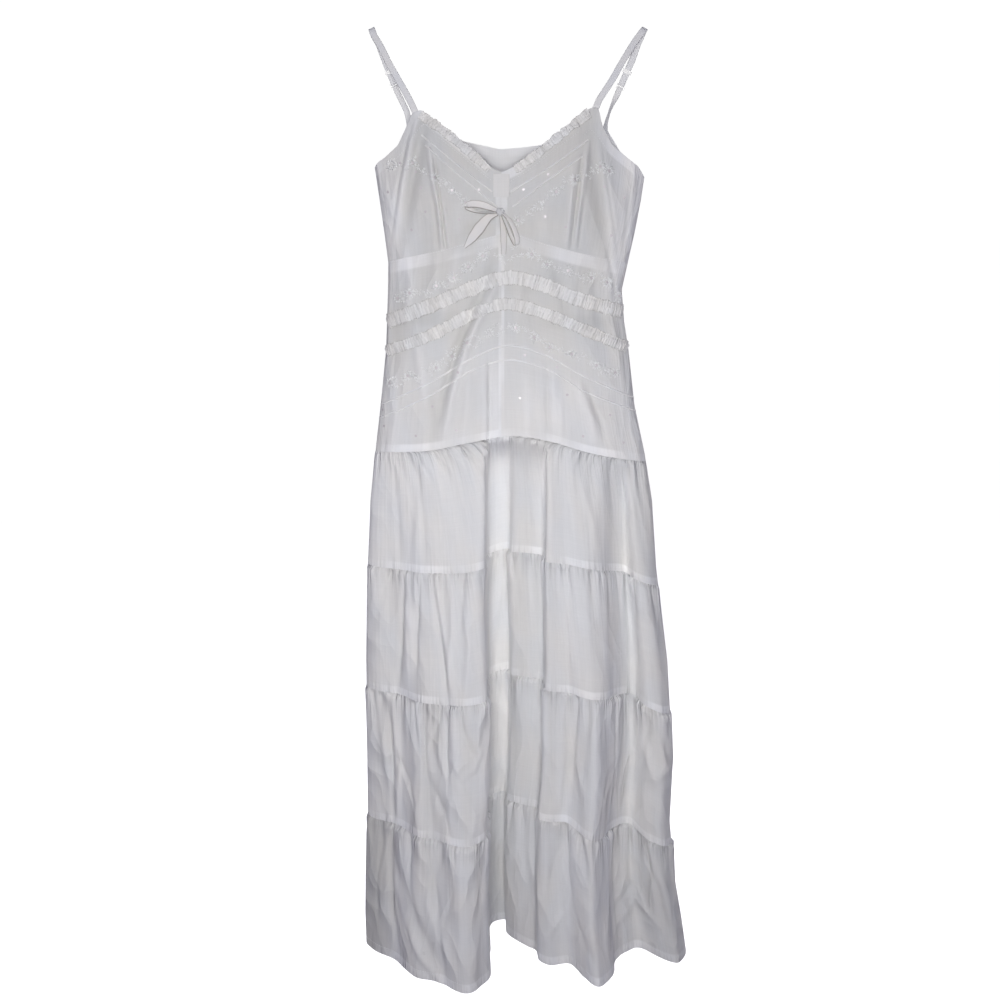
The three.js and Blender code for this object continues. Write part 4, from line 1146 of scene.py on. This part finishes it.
for side, spec in STRAPS.items():
    along, behind, upper_bar, lower_bar = strap_end(spec)
    back_end = np.array(spec["back"][-1])
    path = np.vstack(
        [
            along_line(spec["front"] + spec["top"] + spec["back"], 70),
            half_turn(upper_bar, -behind, along),
            back_end + 2 * BEND_RADIUS * behind,
        ]
    )
    across = np.tile(spec["across"], (len(path), 1))
    strap_cut = (STRAP_LENGTH, STRAP_WIDTH)
    strap = tape(f"strap_{side}_tape", path, across, STRAP_WIDTH, STRAP_CROWN, strap_cut, strap_cotton)
    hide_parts(f"strap_{side}")
    turn = half_turn(lower_bar, behind, -along)
    short_end = turn[0] + along * SHORT_PLY
    lower = along_line([tuple(turn[-1] + along * SHORT_PLY)] + spec["down"], 40)
    path = np.vstack([short_end, turn, lower])
    across = np.vstack(
        [np.tile(spec["across"], (len(turn) + 1, 1)), widths_along(spec["turns"], len(lower))]
    )
    back_width = STRAP_WIDTH - 1
    back_cut = (BACK_STRAP_LENGTH, back_width)
    back_strap = tape(
        f"back_strap_{side}_tape", path, across, back_width, BACK_STRAP_CROWN, back_cut, strap_cotton
    )
    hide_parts(f"back_strap_{side}")

# Rings and sliders: small moulded parts of cloudy white plastic, with the strap's cloth threaded through
# them. Their solids are drawn as they are.
PLASTIC_GREY, PLASTIC_WHITE = (0.72, 0.71, 0.68, 1), (0.82, 0.82, 0.8, 1)
plastic, plastic_tree, plastic_shader = new_material("slider_plastic_white")


def grain(tree, scale, detail):
    """Noise that runs through a piece with no cut map."""
    place = add_node(tree, "ShaderNodeTexCoord").outputs["Object"]
    noise = {"Vector": place, "Scale": scale, "Detail": detail}
    return add_node(tree, "ShaderNodeTexNoise", noise).outputs[0]


flow = grain(plastic_tree, 900, 2)
plastic_colour = blend_colours(plastic_tree, "MIX", flow, PLASTIC_GREY, PLASTIC_WHITE)
plastic_tree.links.new(plastic_colour, plastic_shader.inputs["Base Color"])
plastic_shader.inputs["Roughness"].default_value = 0.35
for side in ("left", "right"):
    for kind in ("ring", "slider"):
        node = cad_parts[f"{kind}_{side}"]
        for material_slot in node.material_slots:
            material_slot.material = plastic

# Bow: one narrow tie of the same cotton, with a knot, two loops and two ends. Its edges are folded under
# and carry painted shade, and the lower left end lies open and wide.
TIE_WIDTH, TIE_LENGTH = 8, 100
TIE_CROWN = 0.5
TIES = [  # name, path, directions of its width, its width, how white it is
    (
        "loop_left",
        [
            (0, -52.3, -250), (-12, -53.5, -245), (-26, -54.5, -240.5), (-40, -53.5, -239.5),
            (-46.5, -52.5, -242), (-39, -51.3, -247), (-23, -51, -251), (-2, -51, -251.5),
        ],
        [(0.1, 0.9, 1), (0.35, 0.4, 1), (0.2, 0.5, 1), (0, 1, 0.5), (0, 1, 0.3)],
        (6, 10.5, 11, 8, 7, 6),
        0.85,
    ),
    (
        "loop_right",
        [
            (1, -52.3, -251), (10, -53.5, -258), (18.5, -54.3, -272), (23.5, -52.6, -288),
            (22.5, -50.8, -294), (16.5, -50.8, -285), (10, -51, -270), (3, -51, -254),
        ],
        [(0.5, 1, 0.2), (0.85, 0.7, 0.4), (0.9, 0.7, 0.3), (0.8, 1, 0.3), (0.6, 1, 0.3)],
        (6, 8, 9, 8, 7, 6),
        0.85,
    ),
    (
        "end_left",
        [(-3, -51.3, -252), (-15, -51.6, -257), (-27, -51, -270), (-38, -49.4, -284), (-49, -47.6, -298)],
        [(-0.1, 0.6, 1), (-0.5, 0.12, 0.9), (-0.75, 0.12, 0.7), (-0.8, 0.1, 0.65)],
        (6, 12, 16, 13, 3),
        0.7,
    ),
    (
        "end_right",
        [(1, -50.3, -251), (3.5, -49.3, -266), (5, -48.3, -284), (5, -47.3, -307)],
        [(1, 0.5, 0), (1, 0.2, 0), (1, 0, 0)],
        (5, 8, 9, 6),
        0.6,
    ),
]
# Its dark first colour shows mostly along the tie's edges, as painted shade.
tie_cotton = woven("tie_cotton", (0.36, 0.33, 0.3, 1), (0.95, 0.94, 0.92, 1), 0.1, 0.02)
KNOT_SIZE = (6, 4.2, 5.5)
KNOT_PLACE = (0, -52.5, -250)
TIE_STEPS = 60
knot_bm = bmesh.new()
bmesh.ops.create_icosphere(knot_bm, subdivisions=4, radius=1)
for vertex in knot_bm.verts:
    twist = 1 + 0.07 * np.sin(7 * vertex.co.x + 5 * vertex.co.z) + 0.05 * np.sin(11 * vertex.co.z)
    vertex.co = Vector([(c * s * twist + p) * MM for c, s, p in zip(vertex.co, KNOT_SIZE, KNOT_PLACE)])
knot_mesh = bpy.data.meshes.new("tie_bow_knot")
knot_bm.to_mesh(knot_mesh)
knot_bm.free()
knot_mesh.polygons.foreach_set("use_smooth", np.ones(len(knot_mesh.polygons), dtype=bool))
knot = piece_of(knot_mesh, strap_cotton)
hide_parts("tie_bow")
for name, path, directions, widths, white in TIES:
    line = along_line(path, TIE_STEPS)
    across = widths_along(directions, len(line))
    width = np.interp(np.linspace(0, len(widths) - 1, len(line)), np.arange(len(widths)), widths)
    tie_cut = (TIE_LENGTH, TIE_WIDTH)
    tie = tape(f"tie_bow_{name}", line, across, width, TIE_CROWN, tie_cut, tie_cotton, white)

# Embroidery: sprays of white daisies in loose straight stitches of shiny thread, in two rows across the
# midriff and one on each cup. Each petal and leaf is a few threads side by side.
DAISIES = {  # row: places x, z
    "midriff_upper": [
        (-145, -367), (-127, -360), (-89, -350), (-64, -339), (-44, -324), (-23, -309),
        (44, -307), (65, -321), (95, -329), (128, -339), (151, -345), (169, -364),
    ],
    "midriff_lower": [
        (-158, -487), (-131, -476), (-90, -464), (-68, -448), (-46, -429), (-15, -414),
        (22, -408), (48, -421), (70, -435), (101, -445), (136, -461), (164, -472),
    ],
    "cup_left": [(-151, -184), (-121, -183), (-90, -204), (-66, -221), (-47, -237)],
    "cup_right": [(25, -261), (53, -241), (77, -223), (102, -207), (138, -188), (150, -194)],
}
PETALS = 9
DAISY_REACH, LEAF_REACH = (7.5, 10.5), (4.5, 7.5)
HEART, SECOND_HEART, LEAF_HEART = 2.2, 2.6, 1.0
PETAL_WIDTH, SECOND_PETAL_WIDTH, LEAF_WIDTH = 1.15, 0.75, 0.85
SECOND_PETAL_REACH, SECOND_PETAL_TURN = 0.8, 0.24
LEAF_SPACING = 5
LEAF_TURNS = (-1.4, -0.7, 0, 0.7, 1.4)
STITCH_HEIGHT = 1.3
START_LIFT, END_LIFT = 0.5, 0.35
THREAD_GREY, THREAD_WHITE = (0.74, 0.75, 0.76, 1), (0.93, 0.93, 0.92, 1)
thread, thread_tree, thread_shader = new_material("embroidery_thread")
twist = grain(thread_tree, 1500, 1)
thread_colour = blend_colours(thread_tree, "MIX", twist, THREAD_GREY, THREAD_WHITE)
thread_tree.links.new(thread_colour, thread_shader.inputs["Base Color"])
thread_tree.links.new(raised(thread_tree, twist, 0.4, 0.0002), thread_shader.inputs["Normal"])
thread_shader.inputs["Roughness"].default_value = 0.35
thread_shader.inputs["Specular IOR Level"].default_value = 0.6


def add_stitch(bm, start, end, out, width, height):
    """One raised stitch of thread between two points in mm, thickest at its middle."""
    reach = (end - start) / 2
    length = np.linalg.norm(reach)
    across = np.cross(out, reach / length)
    across /= np.linalg.norm(across)
    up = np.cross(reach / length, across)
    axes = np.column_stack([reach, across * width / 2, up * height / 2])
    matrix = Matrix.Identity(4)
    for i in range(3):
        for j in range(3):
            matrix[i][j] = axes[i, j] * MM
        matrix[i][3] = (start + end)[i] / 2 * MM
    bmesh.ops.create_icosphere(bm, subdivisions=1, radius=1, matrix=matrix)


def stitched_piece(name, bm, material):
    """Object of many stitches, smooth shaded."""
    bmesh.ops.recalc_face_normals(bm, faces=bm.faces)
    mesh = bpy.data.meshes.new(name)
    bm.to_mesh(mesh)
    bm.free()
    mesh.polygons.foreach_set("use_smooth", np.ones(len(mesh.polygons), dtype=bool))
    return piece_of(mesh, material)


for row, places in DAISIES.items():
    draw = np.random.default_rng(len(row) + len(places))
    starts, ends, widths = [], [], []

    def spray(x, z, inner, outer, turns, width):
        """Straight stitches that fan out from a place."""
        for turn in turns:
            reach = outer * draw.uniform(0.75, 1.12)
            starts.append((x + inner * np.cos(turn), z + inner * np.sin(turn)))
            ends.append((x + reach * np.cos(turn), z + reach * np.sin(turn)))
            widths.append(width * draw.uniform(0.8, 1.2))

    for k, (x, z) in enumerate(places):
        size = draw.uniform(*DAISY_REACH)
        turns = np.linspace(0, 2 * np.pi, PETALS, endpoint=False) + draw.uniform(0, 1)
        turns = turns + draw.normal(0, 0.1, PETALS)
        spray(x, z, HEART, size, turns, PETAL_WIDTH)
        spray(x, z, SECOND_HEART, SECOND_PETAL_REACH * size, turns + SECOND_PETAL_TURN, SECOND_PETAL_WIDTH)
        if k + 1 < len(places):
            far_x, far_z = places[k + 1]
            gap = np.hypot(far_x - x, far_z - z)
            for f in np.linspace(0, 1, max(3, int(gap / LEAF_SPACING)) + 1)[1:-1]:
                leaf_x = x + (far_x - x) * f + draw.normal(0, 1.5)
                leaf_z = z + (far_z - z) * f + draw.normal(0, 4.5)
                heading = draw.uniform(0, 2 * np.pi)
                leaves = heading + np.array(LEAF_TURNS) + draw.normal(0, 0.15, len(LEAF_TURNS))
                spray(leaf_x, leaf_z, LEAF_HEART, draw.uniform(*LEAF_REACH), leaves, LEAF_WIDTH)
    starts, ends = np.array(starts), np.array(ends)
    first = on_front(starts[:, 0], starts[:, 1], np.full(len(starts), START_LIFT))
    last = on_front(ends[:, 0], ends[:, 1], np.full(len(ends), END_LIFT))
    share = np.clip(share_at(starts[:, 0], starts[:, 1]), 0.001, 0.999)
    out = front_normals(share, starts[:, 1])
    bm = bmesh.new()
    for a, b, normal, width in zip(first, last, out, widths):
        add_stitch(bm, a, b, normal, width, STITCH_HEIGHT)
    stitched_piece(f"embroidery_{row}_stitches", bm, thread)

# Sewing thread: a row of small machine stitches in the same white thread, which holds each facing down,
# the seam under the bust flat and the hem up.
STITCH_LENGTH = 2.6
STITCH_SPACING = 1.5 * STITCH_LENGTH
STITCH_WIDTH = 0.6
STITCH_LIFT = 0.15
BELOW_BUST_SEAM = 1.6
FACING_STITCHES = [
    [
        (-163, -188), (-148, -180), (-134, -168), (-124, -157), (-114, -141), (-104, -132),
        (-93, -141), (-88, -147),
    ],
    [
        (192, -195), (176, -185), (161, -176), (148, -166), (141, -157), (134, -148), (123, -140),
        (114, -148),
    ],
    [(-84, -150), (-56, -172), (-30, -194), (-10, -209)],
    [(14, -209), (36, -196), (62, -177), (92, -154), (110, -141)],
]
stitch_runs = []
for places in FACING_STITCHES:
    line = along_line(places, 300)
    stitch_runs.append(on_front(line[:, 0], line[:, 1], np.full(len(line), STITCH_LIFT)))
turn = (1 - np.cos(np.pi * np.linspace(0.02, 0.98, 600))) / 2
under_bust = row_height(EMPIRE, turn)
seam_x = x_at(turn, under_bust)
stitch_runs.append(on_front(seam_x, under_bust - BELOW_BUST_SEAM, np.full(len(turn), STITCH_LIFT)))
HEM_ROW = -3  # row of the last tier's mesh that the hem is sewn along
for face in ("front", "back"):
    stitch_runs.append(tier_points[4, face][HEM_ROW])
bm = bmesh.new()
for run in stitch_runs:
    along = np.concatenate([[0], np.cumsum(np.linalg.norm(np.diff(run, axis=0), axis=1))])
    starts = np.arange(0, along[-1] - STITCH_LENGTH, STITCH_SPACING)
    first, last = (
        np.column_stack([np.interp(places, along, run[:, k]) for k in range(3)])
        for places in (starts, starts + STITCH_LENGTH)
    )
    for a, b in zip(first, last):
        add_stitch(bm, a, b, np.array([0, -1, 0.01]), STITCH_WIDTH, STITCH_WIDTH)
stitched_piece("seam_stitches", bm, thread)

# Sequins: small cupped iridescent discs, one in the heart of most daisies and the rest scattered, each
# sewn on through its middle.
SEQUINS = [  # x, z, colour
    (-156, -221, "pink"), (-96, -165, "violet"), (-116, -195, "yellow"), (-109, -217, "green"),
    (-103, -249, "violet"), (-57, -260, "yellow"), (-29, -220, "yellow"), (-123, -273, "clear"),
    (66, -200, "pink"), (32, -220, "yellow"), (62, -256, "clear"), (91, -270, "violet"),
    (106, -231, "pink"), (144, -215, "yellow"), (173, -229, "pink"), (155, -281, "clear"),
    (-24, -309, "pink"), (-169, -526, "pink"), (-167, -549, "clear"), (-96, -519, "yellow"),
    (-62, -552, "pink"), (-120, -561, "pink"), (-59, -470, "pink"), (-131, -476, "green"),
    (28, -506, "violet"), (80, -463, "clear"), (95, -502, "yellow"), (157, -532, "clear"),
    (177, -572, "pink"), (118, -561, "clear"), (35, -446, "yellow"), (-145, -367, "yellow"),
    (-127, -360, "violet"), (-89, -350, "pink"), (-64, -339, "pink"), (-44, -324, "pink"),
    (44, -307, "clear"), (65, -321, "pink"), (95, -329, "clear"), (128, -339, "violet"),
    (151, -345, "clear"), (169, -364, "pink"), (-158, -487, "yellow"), (-90, -464, "yellow"),
    (-68, -448, "violet"), (-46, -429, "pink"), (22, -408, "pink"), (48, -421, "pink"),
    (70, -435, "pink"), (101, -445, "pink"), (136, -461, "yellow"), (164, -472, "pink"),
    (-121, -183, "yellow"), (-138, -183, "pink"), (-90, -204, "yellow"), (-66, -221, "pink"),
    (-47, -237, "violet"), (25, -261, "yellow"), (77, -223, "clear"), (102, -207, "green"),
    (138, -188, "pink"), (150, -194, "yellow"),
]
SEQUIN_COLOURS = {
    "pink": (0.5, 0.06, 0.19, 1),
    "violet": (0.3, 0.07, 0.36, 1),
    "yellow": (0.42, 0.34, 0.13, 1),
    "green": (0.12, 0.5, 0.4, 1),
    "clear": (0.55, 0.58, 0.62, 1),
}
SEQUIN_HEART = (0.6, 0.56, 0.56, 1)
SEQUIN_GLINT = (0.85, 0.8, 0.9, 1)
SEQUIN_RADIUS, SEQUIN_RIM, SEQUIN_DEPTH = 1.95, 1.15, 0.35
SEQUIN_THICKNESS, SEQUIN_LIFT, SEQUIN_TILT = 0.25, 0.9, 0.12
SEQUIN_SEGMENTS = 10
sequins_bm = bmesh.new()
sequin_colour = sequins_bm.verts.layers.float_color.new("iridescence")
centres = np.array([(x, z) for x, z, _ in SEQUINS], dtype=float)
feet = on_front(centres[:, 0], centres[:, 1], np.full(len(centres), SEQUIN_LIFT))
facing = front_normals(np.clip(share_at(centres[:, 0], centres[:, 1]), 0.001, 0.999), centres[:, 1])
draw = np.random.default_rng(5)
for (_, _, colour), foot, out in zip(SEQUINS, feet, facing):
    tilt = Vector(out + draw.normal(0, SEQUIN_TILT, 3)).to_track_quat("Z", "Y").to_matrix().to_4x4()
    disc = bmesh.ops.create_circle(
        sequins_bm,
        cap_ends=True,
        radius=SEQUIN_RADIUS * MM,
        segments=SEQUIN_SEGMENTS,
        matrix=Matrix.Translation(Vector(foot) * MM) @ tilt,
    )
    face = disc["verts"][0].link_faces[0]
    inner = bmesh.ops.inset_region(
        sequins_bm, faces=[face], thickness=SEQUIN_RIM * MM, depth=-SEQUIN_DEPTH * MM
    )
    for vertex in {v for f in inner["faces"] for v in f.verts}:
        vertex[sequin_colour] = SEQUIN_COLOURS[colour]
    for vertex in set(face.verts):
        vertex[sequin_colour] = SEQUIN_HEART
foil, foil_tree, foil_shader = new_material("sequin_foil")
foil_base = add_node(foil_tree, "ShaderNodeAttribute", attribute_name="iridescence").outputs["Color"]
foil_glints = worked_out(foil_tree, "MULTIPLY", grain(foil_tree, 700, 1), 0.3)
foil_colour = blend_colours(foil_tree, "MIX", foil_glints, foil_base, SEQUIN_GLINT)
foil_tree.links.new(foil_colour, foil_shader.inputs["Base Color"])
foil_shader.inputs["Metallic"].default_value = 0.1
foil_shader.inputs["Roughness"].default_value = 0.42
foil_shader.inputs["Coat Weight"].default_value = 0.15
foil_shader.inputs["Coat Roughness"].default_value = 0.3
sequins_mesh = bpy.data.meshes.new("scattered_sequins")
bmesh.ops.recalc_face_normals(sequins_bm, faces=sequins_bm.faces)
sequins_bm.to_mesh(sequins_mesh)
sequins_bm.free()
piece_of(sequins_mesh, foil, SEQUIN_THICKNESS, 0)

# Studio: a pale floor under the hanging dress, a white surround, and soft light from in front, from the
# left and from behind.
FLOOR_Z, FLOOR_RADIUS, SURROUND_RADIUS = -1.9, 8, 7.5


def studio_piece(kind, bm, colour, roughness, glow):
    """Shape round the dress that glows white, and throws no light on its cloth."""
    mesh = bpy.data.meshes.new(f"studio_{kind}")
    bm.to_mesh(mesh)
    bm.free()
    paint, _, shader = new_material(f"{kind}_paint")
    shader.inputs["Base Color"].default_value = colour
    shader.inputs["Roughness"].default_value = roughness
    shader.inputs["Emission Color"].default_value = (1, 1, 1, 1)
    shader.inputs["Emission Strength"].default_value = glow
    mesh.materials.append(paint)
    piece = bpy.data.objects.new(mesh.name, mesh)
    bpy.context.scene.collection.objects.link(piece)
    piece.visible_diffuse = False
    return piece


floor_bm = bmesh.new()
floor_place = Matrix.Translation((0, 0, FLOOR_Z))
bmesh.ops.create_circle(floor_bm, cap_ends=True, radius=FLOOR_RADIUS, segments=96, matrix=floor_place)
floor = studio_piece("floor", floor_bm, (0.95, 0.95, 0.95, 1), 0.9, 0.95)

surround_bm = bmesh.new()
bmesh.ops.create_uvsphere(surround_bm, u_segments=64, v_segments=32, radius=SURROUND_RADIUS)
surround = studio_piece("surround", surround_bm, (0, 0, 0, 1), 0.5, 1.0)
surround.visible_glossy = False
surround.visible_shadow = False
surround.visible_transmission = False

world = bpy.data.worlds.new("studio_light")
bpy.context.scene.world = world
world.use_nodes = True
world.node_tree.nodes["Background"].inputs["Color"].default_value = (0.88, 0.84, 1.12, 1)
world.node_tree.nodes["Background"].inputs["Strength"].default_value = 0.16
LAMPS = [  # name, place, aim, size, power, spread
    ("front", (-0.03, -1.7, -0.35), (0, 0, -0.62), 0.4, 10.0, 130),
    ("left", (-1.9, -1.3, 0.5), (0, 0, -0.6), 0.7, 2.2, 180),
    ("back", (1.2, 2.2, 0.6), (0, 0, -0.6), 1.6, 45, 180),
]
for name, place, aim, size, power, spread in LAMPS:
    lamp_data = bpy.data.lights.new(name, "AREA")
    lamp_data.size = size
    lamp_data.energy = power
    lamp_data.spread = np.radians(spread)
    lamp = bpy.data.objects.new(name, lamp_data)
    lamp.location = place
    lamp.rotation_euler = (Vector(aim) - Vector(place)).to_track_quat("-Z", "Y").to_euler()
    lamp.visible_camera = False
    bpy.context.scene.collection.objects.link(lamp)
bpy.context.scene.view_settings.view_transform = "Standard"

# Camera: 1.8 m in front of the dress, a third of the way down it and pitched down, so that the top and
# the hem fall where they do in the photo.
CAMERA_PLACE = (0, -1.8, -0.36)
CAMERA_ANGLE, CAMERA_PITCH = 43.86, 9.46
camera_data = bpy.data.cameras.new("camera")
camera_data.angle = np.radians(CAMERA_ANGLE)
camera = bpy.data.objects.new("camera", camera_data)
camera.location = CAMERA_PLACE
camera.rotation_euler = (np.radians(90 - CAMERA_PITCH), 0, 0)
bpy.context.scene.collection.objects.link(camera)
bpy.context.scene.camera = camera
